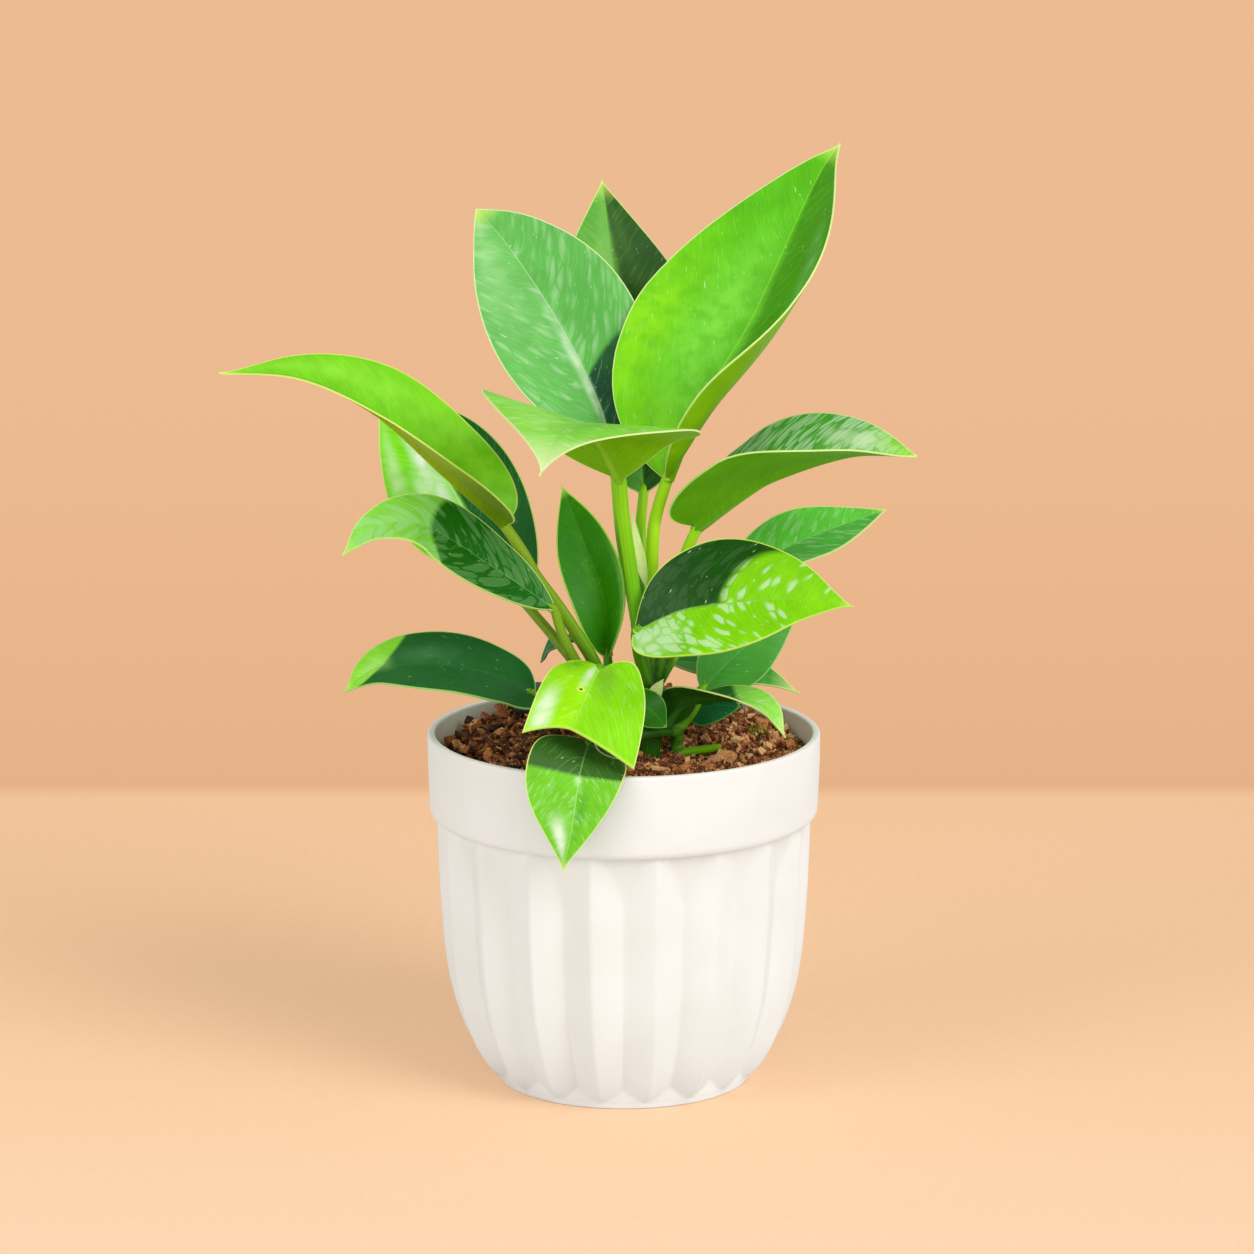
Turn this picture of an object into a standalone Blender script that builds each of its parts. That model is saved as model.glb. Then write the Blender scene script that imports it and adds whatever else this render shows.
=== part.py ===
"""A young philodendron in a pleated pot, one named object for each piece.

Metres, +Z up. The origin is the centre of the pot's flat underside, the front of
the plant looks along -Y. Lengths in the tables below are millimetres.
"""
from math import atan2, cos, exp, hypot, pi, radians, sin

import bmesh
import bpy
from mathutils import Vector

MM = 0.001
GAP = 0.3                    # clearance that touching pieces keep

# Pot: a turned foot and collar with a pleated body between them
POT_RADIUS = 70.0
POT_HEIGHT = 127.0
WALL = 2.8
RIM_ROUND = 0.9
COLLAR_LOW = 97.0            # underside of the collar
COLLAR_STRAIGHT = 118.0      # the collar narrows a little below this height
COLLAR_TAPER = 0.7
COLLAR_ROUND = 3.0           # height of its rounded lower edge
COLLAR_STEP = 2.4            # how far that edge turns in
SHOULDER = 105.0             # inside, the round collar starts here
PLEATS = 18
PLEAT_DEPTH = 5.0
PLEAT_TOP = 96.5
POT_STEPS = PLEATS * 4       # ridge, slope, valley, slope
FOOT_RADIUS = 45.6
FOOT_EDGE = 0.8
FOOT_FLARE = 0.2             # how fast the foot widens with height
FLOOR = 5.0
FLOOR_RADIUS = 38.0
# Pleat ridges as (radius, height), from the foot up to the collar
RIDGE = [(46.0, 2.4), (49.6, 5.2), (53.3, 10.0), (57.0, 17.0), (60.6, 27.0), (63.2, 38.0),
         (64.8, 51.0), (66.2, 72.0), (67.0, PLEAT_TOP)]
INSIDE = [PLEAT_TOP, 60.0, 38.0, 22.0, 9.0]     # heights where the inside wall bends

# Soil: level in front, heaped behind the stems
SOIL_FRONT = 117.0
SOIL_EDGE = 1.0              # how far it has settled at the wall
EDGE_WIDTH = 11.0
HEAP = 15.0
HEAP_CENTRE = (0.0, 40.0)
HEAP_REACH = (46.0, 27.0)
CLODS = 0.9                  # height of the uneven surface
SOIL_GAP = 2.0               # from the pleated inside wall
SOIL_RINGS = [0.0, 9.0, 18.0, 27.0, 36.0, 45.0, 54.0, 61.0]

PEBBLE_AT = (-31.0, 36.0)
PEBBLE_SIZE = (22.0, 17.0, 13.0)
PEBBLE_SUNK = 3.0

LEAF_THICK = 0.8
LEAF_ROWS = 12
LEAF_COLUMNS = 4
MIDRIB_STEPS = 24
LEAST_HALF = 0.6             # half width left at a leaf's base and tip

# Each leaf: the points of its midrib from base to tip, its full width, the way
# its upper face looks at base and tip as (azimuth from -Y, elevation), the angle
# its halves fold up by at base and tip, and what its outline needs besides.
LEAVES = {
    "leaf_top_right": dict(
        midrib=[(15, 2, 218), (27, 8, 244), (45, 18, 272), (67, 34, 317), (77, 40, 332)],
        width=80, looks=((-33, 20), (-33, 20)), fold=(20, 10), cup=(10, 75),
        widest=0.38, base=0.62, tip=1.25),
    "leaf_top_left": dict(
        midrib=[(-3, 15, 216), (-8, 20, 239), (-22, 30, 267), (-40, 42, 293), (-53, 51, 307)],
        width=55, looks=((5, 20), (5, 20)), fold=(25, 8), widest=0.48, base=0.95, tip=0.95),
    "leaf_top_back": dict(
        midrib=[(7, 22, 209), (4, 38, 240), (-4, 64, 285), (-8, 76, 314)],
        width=56, looks=((0, 20), (0, 20)), fold=(25, 15), widest=0.42, base=0.6),
    "leaf_front_high": dict(
        midrib=[(-1, -10, 220), (-8, -22, 236), (-14, -48, 247), (-23, -84, 248), (-28, -108, 240)],
        width=78, looks=((160, 30), (-3, 60)), fold=(8, 6), widest=0.38, base=0.55, tip=1.3),
    "leaf_right_high": dict(
        midrib=[(26, 2, 201), (42, 0, 213), (54, -2, 220), (80, -5, 228), (103, -8, 228)],
        width=54, looks=((180, 78), (0, 70)), fold=(36, 24), widest=0.38, tip=1.1, lobes=(9, 9)),
    "leaf_right_back": dict(
        midrib=[(40, 14, 180), (63, 28, 190), (95, 46, 198)],
        width=27, looks=((-15, 55), (-10, 50)), fold=(15, 10), widest=0.4, base=0.6, tip=1.2),
    "leaf_right_broad": dict(
        midrib=[(4, -17, 167), (23, -22, 176), (54, -29, 181), (71, -34, 181), (80, -37, 180)],
        width=46, looks=((0, 42), (0, 42)), fold=(12, 8), widest=0.42, base=0.8, tip=1.5,
        lobes=(0, 10), lopsided=0.12),
    "leaf_right_shaded": dict(
        midrib=[(28, 8, 140), (43, 14, 154), (62, 22, 164)],
        width=25, looks=((20, 25), (20, 25)), fold=(15, 10), widest=0.4, base=0.6),
    "leaf_right_drooping": dict(
        midrib=[(16, 20, 148), (35, 30, 144), (51, 36, 139), (64, 40, 131)],
        width=18, looks=((0, 60), (10, 50)), fold=(5, 0), tip=1.5),
    "leaf_right_small": dict(
        midrib=[(15, -4, 130), (22, -8, 139), (39, -14, 142), (51, -18, 139), (57, -20, 129)],
        width=20, looks=((150, 50), (10, 50)), fold=(25, 10), widest=0.4, tip=1.4),
    "leaf_soil_right": dict(
        midrib=[(22, 14, 131), (32, 13, 133), (42, 11, 133)],
        width=16, looks=((0, 40), (0, 40)), fold=(5, 0)),
    "leaf_left_long": dict(
        midrib=[(-42, -12, 206), (-63, -18, 228), (-91, -24, 250), (-117, -28, 260), (-141, -30, 260)],
        width=43, looks=((55, 55), (0, 80)), fold=(28, 24), widest=0.41, base=0.55, tip=1.4,
        lobes=(5, 5)),
    "leaf_left_back": dict(
        midrib=[(-35, 18, 169), (-52, 26, 193), (-67, 32, 217), (-87, 38, 242)],
        width=46, looks=((0, 20), (-5, 20)), fold=(15, 10), widest=0.45, base=0.7, tip=1.0),
    "leaf_left_middle": dict(
        midrib=[(-24, -18, 175), (-43, -26, 190), (-69, -38, 209), (-86, -46, 210), (-97, -50, 201)],
        width=30, looks=((0, 50), (-10, 55)), fold=(8, 5), widest=0.5, base=0.85, tip=1.2),
    "leaf_left_low": dict(
        midrib=[(-32, -14, 144), (-43, -16, 150), (-64, -22, 156), (-86, -28, 156), (-98, -30, 148)],
        width=33, looks=((0, 60), (-5, 60)), fold=(5, 5), widest=0.45, base=0.6),
    "leaf_front_centre": dict(
        midrib=[(-8, -33, 158), (-12, -52, 154), (-18, -70, 144)],
        width=41, looks=((0, 30), (0, 10)), fold=(0, 0), cup=(-20, -20),
        widest=1.0, base=0.3, lobes=(4, 4), spurs=(1, 11), lopsided=0.28),
    "leaf_over_rim": dict(
        midrib=[(-12, -54, 136), (-15, -71, 129), (-18, -77, 110), (-21, -77, 95)],
        width=34, looks=((0, 20), (0, 5)), fold=(8, 5), widest=0.32, tip=1.5, lopsided=-0.3),
    "leaf_middle": dict(
        midrib=[(-6, 0, 154), (-7, 2, 174), (-14, 5, 194), (-22, 8, 214)],
        width=25, looks=((-20, 15), (-10, 15)), fold=(50, 10), widest=0.45, base=0.6),
    "leaf_small_back": dict(
        midrib=[(-18, 20, 156), (-26, 26, 153), (-30, 30, 145)],
        width=7, looks=((0, 60), (-60, 30)), fold=(0, 0), tip=1.0),
    "leaf_small_inner": dict(
        midrib=[(-1, -22, 142), (8, -20, 140), (15, -16, 132)],
        width=15, looks=((0, 50), (0, 30)), fold=(0, 0), tip=1.0),
    "sheath_high": dict(
        midrib=[(8, -4.5, 180), (5, -4.2, 194), (3, -4, 207)],
        width=5, looks=((0, 0), (0, 0)), fold=(0, 0), widest=0.4, base=0.8),
    "sheath_low": dict(
        midrib=[(10, -11, 138), (11, -11, 143), (14, -10, 148)],
        width=5, looks=((0, 30), (0, 30)), fold=(0, 0), widest=0.4, base=0.8),
}
OUTLINE = dict(widest=0.36, base=0.5, tip=1.15, lobes=(0, 0), cup=(0, 0), spurs=(0, 0), lopsided=0)

# Each shoot: where its stem leaves the soil, the stem's radius and top, and its
# leaf stalks as (leaf, radius, points between the leaf's base and the stem).
SHOOTS = {
    "shoot_main": dict(at=(9, 1), radius=5.2, top=140, stalks=[
        ("leaf_top_right", 2.7, [(11, 1, 203), (10, 1, 189), (9.5, 1, 165)]),
        ("leaf_top_left", 2.2, [(-1, 13, 194), (3, 7, 173)]),
        ("leaf_top_back", 2.3, [(6, 18, 194), (8, 10, 172)]),
        ("leaf_front_high", 2.8, [(0, -10, 206), (2, -9, 191), (4, -8, 176), (6, -5, 158)]),
        ("leaf_right_high", 2.5, [(22, 2, 191), (17, 2, 174), (13, 2, 154)]),
        ("leaf_right_back", 2.0, [(29, 9, 168), (18, 5, 153)]),
        ("leaf_right_broad", 2.2, [(5, -13, 158), (8, -7, 146)]),
    ]),
    "shoot_left": dict(at=(-4, -5), radius=4.4, top=131, stalks=[
        ("leaf_left_long", 2.5, [(-36, -12, 195), (-31, -12, 186), (-24, -11, 176), (-17, -10, 165),
                                 (-9, -8, 150)]),
        ("leaf_left_middle", 2.2, [(-22, -18, 167), (-18, -17, 158), (-10, -12, 143)]),
        ("leaf_left_back", 2.2, [(-25, 13, 158), (-12, 4, 143)]),
        ("leaf_left_low", 2.0, [(-24, -14, 140), (-12, -10, 134)]),
        ("leaf_front_centre", 1.9, [(-6, -27, 151), (-5, -15, 141)]),
        ("leaf_middle", 2.0, [(-5, -2, 146)]),
        ("leaf_small_back", 1.3, [(-12, 12, 151), (-7, 2, 141)]),
        ("leaf_small_inner", 1.5, [(-2, -17, 138)]),
    ]),
    "shoot_right": dict(at=(19, 0), radius=2.8, top=129, stalks=[
        ("leaf_right_shaded", 1.9, [(25, 6, 133)]),
        ("leaf_right_small", 1.7, [(16, -2, 127)]),
        ("leaf_right_drooping", 1.6, [(13, 15, 141), (17, 7, 131)]),
        ("leaf_soil_right", 1.4, [(18, 8, 129)]),
        ("leaf_over_rim", 1.9, [(-7, -44, 133), (1, -28, 131), (10, -13, 129)]),
        ("old_stalk", 1.7, [(26, -3, 122)]),
    ]),
}
OLD_STALK_END = (33, -5, 122.5)
ROOT_DEPTH = 13.0            # how far each stem reaches into the soil
STALK_ROUND = 2              # bevel resolution, for eight sides
STALK_STEPS = 3              # points along a stalk for each one given
STALK_END = 0.75             # a stalk's radius at its leaf, as a share of the whole

COLOURS = {
    "pot": (0.82, 0.78, 0.72, 0.55), "soil": (0.06, 0.025, 0.012, 0.95),
    "pebble": (0.05, 0.055, 0.07, 0.4), "stem": (0.16, 0.36, 0.03, 0.4),
    "leaf": (0.08, 0.38, 0.03, 0.32), "sheath": (0.45, 0.6, 0.12, 0.45),
}


def clear_scene():
    for item in list(bpy.data.objects):
        bpy.data.objects.remove(item, do_unlink=True)


def new_collection(name):
    made = bpy.data.collections.new(name)
    bpy.context.scene.collection.children.link(made)
    return made


def material(name):
    red, green, blue, rough = COLOURS[name]
    made = bpy.data.materials.new(name)
    made.use_nodes = True
    shader = made.node_tree.nodes["Principled BSDF"]
    shader.inputs["Base Color"].default_value = (red, green, blue, 1.0)
    shader.inputs["Roughness"].default_value = rough
    shader.inputs["Metallic"].default_value = 0.0
    return made


def add_object(name, mesh, collection, finish=None):
    made = bpy.data.objects.new(name, mesh)
    collection.objects.link(made)
    if finish:
        mesh.materials.append(finish)
    return made


def smooth_edges(mesh, degrees):
    mesh.shade_smooth()
    mesh.set_sharp_from_angle(angle=radians(degrees))


def evaluated_mesh(obj):
    """The object's mesh with its modifiers applied; the object is removed."""
    graph = bpy.context.evaluated_depsgraph_get()
    mesh = bpy.data.meshes.new_from_object(obj.evaluated_get(graph))
    bpy.data.objects.remove(obj, do_unlink=True)
    return mesh


def turned(name, profile, collection):
    """Turn a profile of (radius, height) that starts and ends on the axis."""
    bm = bmesh.new()
    corners = [bm.verts.new((radius * MM, 0.0, height * MM)) for radius, height in profile]
    for low, high in zip(corners, corners[1:]):
        bm.edges.new((low, high))
    mesh = bpy.data.meshes.new(name)
    bm.to_mesh(mesh)
    bm.free()
    obj = add_object(name + "_profile", mesh, collection)
    screw = obj.modifiers.new("turn", "SCREW")
    screw.axis = "Z"
    screw.steps = screw.render_steps = POT_STEPS
    screw.use_merge_vertices = True
    screw.merge_threshold = 0.00001
    turned_mesh = evaluated_mesh(obj)
    bm = bmesh.new()
    bm.from_mesh(turned_mesh)
    bmesh.ops.remove_doubles(bm, verts=bm.verts, dist=0.00001)
    bmesh.ops.recalc_face_normals(bm, faces=bm.faces)
    bm.to_mesh(turned_mesh)
    bm.free()
    return turned_mesh


def between(table, height):
    """Radius at a height in a table of (radius, height) with rising heights."""
    if height <= table[0][1]:
        return table[0][0]
    for (r0, z0), (r1, z1) in zip(table, table[1:]):
        if height <= z1:
            return r0 + (r1 - r0) * (height - z0) / (z1 - z0)
    return table[-1][0]


def pleat(angle):
    """0 on a ridge and 1 in a valley; a valley faces the front."""
    turn = (angle + pi / 2) * PLEATS / (2 * pi) % 1.0
    return 1.0 - 2.0 * min(turn, 1.0 - turn)


def fold_pleats(mesh):
    """Press the pleats into a turned wall, but not into its collar, floor or foot."""
    for vertex in mesh.vertices:
        radius = vertex.co.xy.length / MM
        height = vertex.co.z / MM
        if radius > FLOOR_RADIUS + 1.0 and FOOT_EDGE < height - GAP < PLEAT_TOP:
            foot = min(radius, FOOT_RADIUS + FOOT_FLARE * height)
            pleated = radius - PLEAT_DEPTH * pleat(atan2(vertex.co.y, vertex.co.x))
            outside = radius > between(RIDGE, height) - WALL / 2
            vertex.co.xy *= (max(pleated, foot) if outside else pleated) / radius


def wall_inside(gap):
    """The pot's inside wall as (radius, height) from the rim down, less a gap."""
    wall = [(POT_RADIUS - WALL - gap, SHOULDER)]
    return wall + [(between(RIDGE, height) - WALL - gap, height) for height in INSIDE]


def wall_outside():
    """The pot's outside as (radius, height), from the rim down to the centre of the foot."""
    points = [(POT_RADIUS - WALL + RIM_ROUND, POT_HEIGHT), (POT_RADIUS - RIM_ROUND, POT_HEIGHT)]
    points += [(POT_RADIUS, POT_HEIGHT - RIM_ROUND), (POT_RADIUS, COLLAR_STRAIGHT)]
    for degrees in (0, 30, 60, 90):
        turn = radians(degrees)
        points.append((POT_RADIUS - COLLAR_TAPER - COLLAR_STEP * (1 - cos(turn)),
                       COLLAR_LOW + COLLAR_ROUND * (1 - sin(turn))))
    points += reversed(RIDGE)
    return points + [(FOOT_RADIUS, FOOT_EDGE), (FOOT_RADIUS - FOOT_EDGE, 0.0), (0.0, 0.0)]


def make_pot(collection, cutters, finish):
    inside = [(POT_RADIUS - WALL, POT_HEIGHT - RIM_ROUND)] + wall_inside(0.0)
    inside += [(FLOOR_RADIUS, FLOOR), (0.0, FLOOR)]
    mesh = turned("pot", inside[::-1] + wall_outside(), cutters)
    fold_pleats(mesh)
    smooth_edges(mesh, 12)
    return add_object("pot", mesh, collection, finish)


def soil_height(x, y):
    off_x = (x - HEAP_CENTRE[0]) / HEAP_REACH[0]
    off_y = (y - HEAP_CENTRE[1]) / HEAP_REACH[1]
    heap = HEAP * exp(-off_x * off_x - off_y * off_y)
    clods = CLODS * (sin(0.55 * x + 1.3) * cos(0.47 * y) + 0.6 * sin(0.31 * (x - y)))
    return SOIL_FRONT + heap + clods


def make_soil(collection, cutters, finish):
    edge = POT_RADIUS - WALL - 2 * GAP
    top = [(radius, SOIL_FRONT) for radius in SOIL_RINGS + [edge]]
    bottom = [(FLOOR_RADIUS - SOIL_GAP, FLOOR + GAP), (0.0, FLOOR + GAP)]
    mesh = turned("soil", top + wall_inside(SOIL_GAP) + bottom, cutters)
    fold_pleats(mesh)
    for vertex in mesh.vertices:
        if vertex.co.z > (SOIL_FRONT - GAP) * MM:
            x, y = vertex.co.x / MM, vertex.co.y / MM
            settled = SOIL_EDGE * max(0.0, 1.0 - (edge - hypot(x, y)) / EDGE_WIDTH)
            vertex.co.z = (soil_height(x, y) - settled) * MM
    smooth_edges(mesh, 60)
    return add_object("soil", mesh, collection, finish)


def outline(along, shape):
    """A leaf's half width at a place along it, 1 where it is widest."""
    widest = shape["widest"]
    if along <= widest:
        return (1 - (1 - along / widest) ** 2) ** shape["base"]
    past = (along - widest) / (1 - widest)
    return max(0.0, 1 - past * past) ** shape["tip"]


def spline(points, steps):
    """A smooth curve through the points, as a list of vectors."""
    known = [Vector(point) for point in points]
    known = [2 * known[0] - known[1]] + known + [2 * known[-1] - known[-2]]
    curve = []
    for a, b, c, d in zip(known, known[1:], known[2:], known[3:]):
        for step in range(steps):
            t = step / steps
            curve.append(0.5 * (2 * b + (c - a) * t + (2 * a - 5 * b + 4 * c - d) * t ** 2
                                + (3 * b - a - 3 * c + d) * t ** 3))
    return curve + [known[-2]]


def on_curve(curve, distance):
    """The point and direction at a distance along a curve, running on past its ends."""
    start = (curve[1] - curve[0]).normalized()
    if distance <= 0:
        return curve[0] + start * distance, start
    for here, there in zip(curve, curve[1:]):
        length = (there - here).length
        if distance <= length:
            return here + (there - here) * (distance / length), (there - here).normalized()
        distance -= length
    end = (curve[-1] - curve[-2]).normalized()
    return curve[-1] + end * distance, end


def curve_length(curve):
    return sum((there - here).length for here, there in zip(curve, curve[1:]))


def facing(azimuth, elevation):
    level = cos(radians(elevation))
    return Vector((sin(radians(azimuth)) * level, -cos(radians(azimuth)) * level,
                   sin(radians(elevation))))


def across(width, fold, cup, half):
    """Where a point goes sideways and up at a width on a folded, cupped half leaf."""
    bend = cup / half
    if abs(bend) < 1e-6:
        return width * cos(fold), width * sin(fold)
    return (sin(fold + bend * width) - sin(fold)) / bend, (cos(fold) - cos(fold + bend * width)) / bend


def leaf_point(leaf, curve, along, side):
    """A point of a leaf's middle surface: along 0 to 1, side -1 to 1."""
    half = leaf["width"] / 2
    hand = 1 if side >= 0 else -1
    share = outline(along, leaf)
    width = max(half * share * (1 - leaf["lopsided"] * along * hand), LEAST_HALF) * abs(side)
    distance = along * curve_length(curve)
    distance -= leaf["lobes"][hand > 0] * 2.4 * share * (1 - along) ** 5 * side * side
    distance += leaf["spurs"][hand > 0] * abs(side) ** 1.6 * along ** 3
    point, direction = on_curve(curve, distance)
    upper = facing(*leaf["looks"][0]).lerp(facing(*leaf["looks"][1]), along)
    upper = (upper - direction * upper.dot(direction)).normalized()
    sideways = direction.cross(upper)
    fold = radians(leaf["fold"][0] * (1 - along) + leaf["fold"][1] * along)
    cup = radians(leaf["cup"][hand > 0]) * (1 - 0.6 * along)
    out, up = across(width, fold, cup, half)
    return (point + sideways * hand * out + upper * up) * MM


def make_leaf(name, given, collection, finish):
    leaf = {**OUTLINE, **given}
    curve = spline(leaf["midrib"], MIDRIB_STEPS)
    bm = bmesh.new()
    bmesh.ops.create_grid(bm, x_segments=LEAF_COLUMNS, y_segments=LEAF_ROWS, size=1.0)
    for vertex in bm.verts:
        along = (1 - cos(pi * (vertex.co.y + 1) / 2)) / 2
        vertex.co = leaf_point(leaf, curve, along, vertex.co.x)
    mesh = bpy.data.meshes.new(name)
    bm.to_mesh(mesh)
    bm.free()
    smooth_edges(mesh, 50)
    obj = add_object(name, mesh, collection, finish)
    solid = obj.modifiers.new("thickness", "SOLIDIFY")
    solid.thickness = LEAF_THICK * MM
    solid.offset = 0.0
    return obj


def tube(name, points, radii, collection):
    """A closed round stalk through the points, with a radius at each end."""
    path = spline(points, STALK_STEPS)
    data = bpy.data.curves.new(name, "CURVE")
    data.dimensions = "3D"
    data.bevel_depth = MM
    data.bevel_resolution = STALK_ROUND
    data.use_fill_caps = True
    line = data.splines.new("POLY")
    line.points.add(len(path) - 1)
    for index, place in enumerate(path):
        share = index / (len(path) - 1)
        line.points[index].co = (*(place * MM), 1.0)
        line.points[index].radius = radii[0] + (radii[1] - radii[0]) * share
    obj = bpy.data.objects.new(name, data)
    collection.objects.link(obj)
    mesh = evaluated_mesh(obj)
    bpy.data.curves.remove(data)
    bm = bmesh.new()
    bm.from_mesh(mesh)
    bmesh.ops.remove_doubles(bm, verts=bm.verts, dist=0.00001)
    bmesh.ops.recalc_face_normals(bm, faces=bm.faces)
    bm.to_mesh(mesh)
    bm.free()
    return add_object(name, mesh, collection)


def as_cutter(obj):
    obj.hide_render = True
    obj.display_type = "WIRE"


def add_boolean(obj, operation, operand):
    cut = obj.modifiers.new(operation.lower(), "BOOLEAN")
    cut.operation = operation
    cut.solver = "EXACT"
    cut.object = operand


def stem(name, shoot, grow, collection):
    """The short round stem that carries a shoot, from below the soil to its top."""
    x, y = shoot["at"]
    low = SOIL_FRONT - ROOT_DEPTH - grow
    radius = shoot["radius"]
    points = [(x, y, low), (x, y, (low + shoot["top"]) / 2), (x, y, shoot["top"])]
    return tube(name, points, (radius + grow, radius * 0.8 + grow), collection)


def make_shoot(name, shoot, collection, cutters, finish):
    obj = stem(name, shoot, 0.0, collection)
    obj.data.materials.append(finish)
    x, y = shoot["at"]
    for leaf, radius, through in shoot["stalks"]:
        start = OLD_STALK_END if leaf == "old_stalk" else LEAVES[leaf]["midrib"][0]
        toward = (Vector(through[0]) - Vector(start)).normalized()
        first = Vector(start) + toward * (GAP + LEAF_THICK + radius * 0.3)
        points = [tuple(first)] + through + [(x, y, shoot["top"] - 3.0), (x, y, shoot["top"] - 6.0)]
        stalk = tube(name + "_" + leaf, points, (radius * STALK_END, radius * 1.15), cutters)
        as_cutter(stalk)
        add_boolean(obj, "UNION", stalk)
    return obj


def cut_sockets(soil, cutters):
    for name, shoot in SHOOTS.items():
        socket = stem(name + "_socket", shoot, GAP, cutters)
        as_cutter(socket)
        add_boolean(soil, "DIFFERENCE", socket)


def make_pebble(collection, finish):
    bm = bmesh.new()
    bmesh.ops.create_icosphere(bm, subdivisions=3, radius=0.5)
    x, y = PEBBLE_AT
    rest = Vector((x, y, soil_height(x, y) + PEBBLE_SIZE[2] / 2 - PEBBLE_SUNK))
    for vertex in bm.verts:
        lump = 1.0 + 0.05 * sin(5.0 * vertex.co.x + 2.0) * cos(6.0 * vertex.co.y)
        vertex.co = (Vector(a * b for a, b in zip(vertex.co, PEBBLE_SIZE)) * lump + rest) * MM
    mesh = bpy.data.meshes.new("pebble")
    bm.to_mesh(mesh)
    bm.free()
    smooth_edges(mesh, 60)
    return add_object("pebble", mesh, collection, finish)


def make_pebble_hollow(cutters):
    """The pebble's own shape, a little larger, that the soil gives way to."""
    hollow = make_pebble(cutters, None)
    hollow.name = "pebble_hollow"
    centre = sum((vertex.co for vertex in hollow.data.vertices), Vector()) / len(hollow.data.vertices)
    for vertex in hollow.data.vertices:
        outward = vertex.co - centre
        vertex.co += outward.normalized() * (GAP + 0.15) * MM
    as_cutter(hollow)
    return hollow


def build():
    clear_scene()
    parts = new_collection("potted_philodendron")
    cutters = new_collection("cutters")
    finishes = {name: material(name) for name in COLOURS}
    make_pot(parts, cutters, finishes["pot"])
    soil = make_soil(parts, cutters, finishes["soil"])
    cut_sockets(soil, cutters)
    add_boolean(soil, "DIFFERENCE", make_pebble_hollow(cutters))
    make_pebble(parts, finishes["pebble"])
    for name, shoot in SHOOTS.items():
        make_shoot(name, shoot, parts, cutters, finishes["stem"])
    for name, leaf in LEAVES.items():
        finish = finishes["sheath" if name.startswith("sheath") else "leaf"]
        make_leaf(name, leaf, parts, finish)


build()
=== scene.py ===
"""A young philodendron in an off-white pleated pot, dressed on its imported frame.

Metres, +Z up. The origin is under the middle of the pot's foot and the front of the
plant looks along -Y. Sizes are written in millimetres and times MM where they are used.
"""
import random
from math import atan2, cos, exp, hypot, pi, radians, sin

import bmesh
import bpy
from mathutils import Euler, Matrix, Vector, kdtree, noise


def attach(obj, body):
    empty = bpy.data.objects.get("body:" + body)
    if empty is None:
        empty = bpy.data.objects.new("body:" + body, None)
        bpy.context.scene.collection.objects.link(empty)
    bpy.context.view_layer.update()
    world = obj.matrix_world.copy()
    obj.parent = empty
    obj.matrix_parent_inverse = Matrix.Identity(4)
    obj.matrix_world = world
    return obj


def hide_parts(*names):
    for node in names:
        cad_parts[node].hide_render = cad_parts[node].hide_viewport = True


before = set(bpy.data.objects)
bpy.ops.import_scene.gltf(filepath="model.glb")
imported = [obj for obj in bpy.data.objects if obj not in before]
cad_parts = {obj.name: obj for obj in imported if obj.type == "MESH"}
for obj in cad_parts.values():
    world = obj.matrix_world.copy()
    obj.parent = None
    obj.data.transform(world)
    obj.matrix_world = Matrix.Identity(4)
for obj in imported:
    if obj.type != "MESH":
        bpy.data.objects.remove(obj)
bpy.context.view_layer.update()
MM = 0.001

# ---------------------------------------------------------------------------
# The pot. One injection moulding in off-white polypropylene with a chalk
# filler: a plain collar, a body pressed into 18 pleats and a small round foot
# that the pleats die out in. Its skin is matte, with a faint moulded grain.

POT_RADIUS, POT_HEIGHT, WALL = 70.0, 127.0, 2.8
PLEATS, PLEAT_DEPTH, PLEAT_TOP = 18, 5.0, 96.5
PLEAT_ROUND = 0.03          # share of a pleat's slope that its edges are rounded over
STEPS_PER_PLEAT = 24
FOOT_RADIUS, FOOT_FLARE = 45.6, 0.2
FLOOR, FLOOR_RADIUS = 5.0, 38.0
LIP = 0.9                   # radius of the rim's two edges
STAIN_TOP, STAIN_RISE, STAIN = 114.5, 6.0, 0.12     # soil's stain on the wall inside
RIDGE = [(46.0, 2.4), (49.6, 5.2), (53.3, 10.0), (57.0, 17.0), (60.6, 27.0), (63.2, 38.0),
         (64.8, 51.0), (66.2, 72.0), (67.0, PLEAT_TOP)]


def linear(code):
    """A colour written as sRGB hex, such as F2ECE4, as the linear one shaders take."""
    shares = [int(code[place:place + 2], 16) / 255 for place in (0, 2, 4)]
    return [s / 12.92 if s <= 0.04045 else ((s + 0.055) / 1.055) ** 2.4 for s in shares] + [1.0]


def feed(made, inputs):
    """Fill a node's inputs: a socket, or the first one of a node, is linked, any other is set."""
    for name, value in inputs.items():
        if isinstance(value, bpy.types.Node):
            value = value.outputs[0]
        if isinstance(value, bpy.types.NodeSocket):
            made.id_data.links.new(value, made.inputs[name])
        else:
            made.inputs[name].default_value = value


def node(tree, kind, inputs=None, stops=None, **settings):
    """Add a shader node with its settings, its inputs and a colour ramp's stops."""
    made = tree.nodes.new("ShaderNode" + kind)
    for name, value in settings.items():
        setattr(made, name, value)
    feed(made, inputs or {})
    if stops:
        ramp = made.color_ramp.elements
        while len(ramp) < len(stops):
            ramp.new(0.5)
        for element, (place, code) in zip(ramp, stops):
            element.position, element.color = place, linear(code)
    return made


def finish(name, rough, ior=1.49):
    """A new material, and its node tree with an opaque Principled shader in it."""
    made = bpy.data.materials.new(name)
    made.use_nodes = True
    shader = made.node_tree.nodes["Principled BSDF"]
    feed(shader, {"Roughness": rough, "IOR": ior})
    return made, made.node_tree, shader


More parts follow.
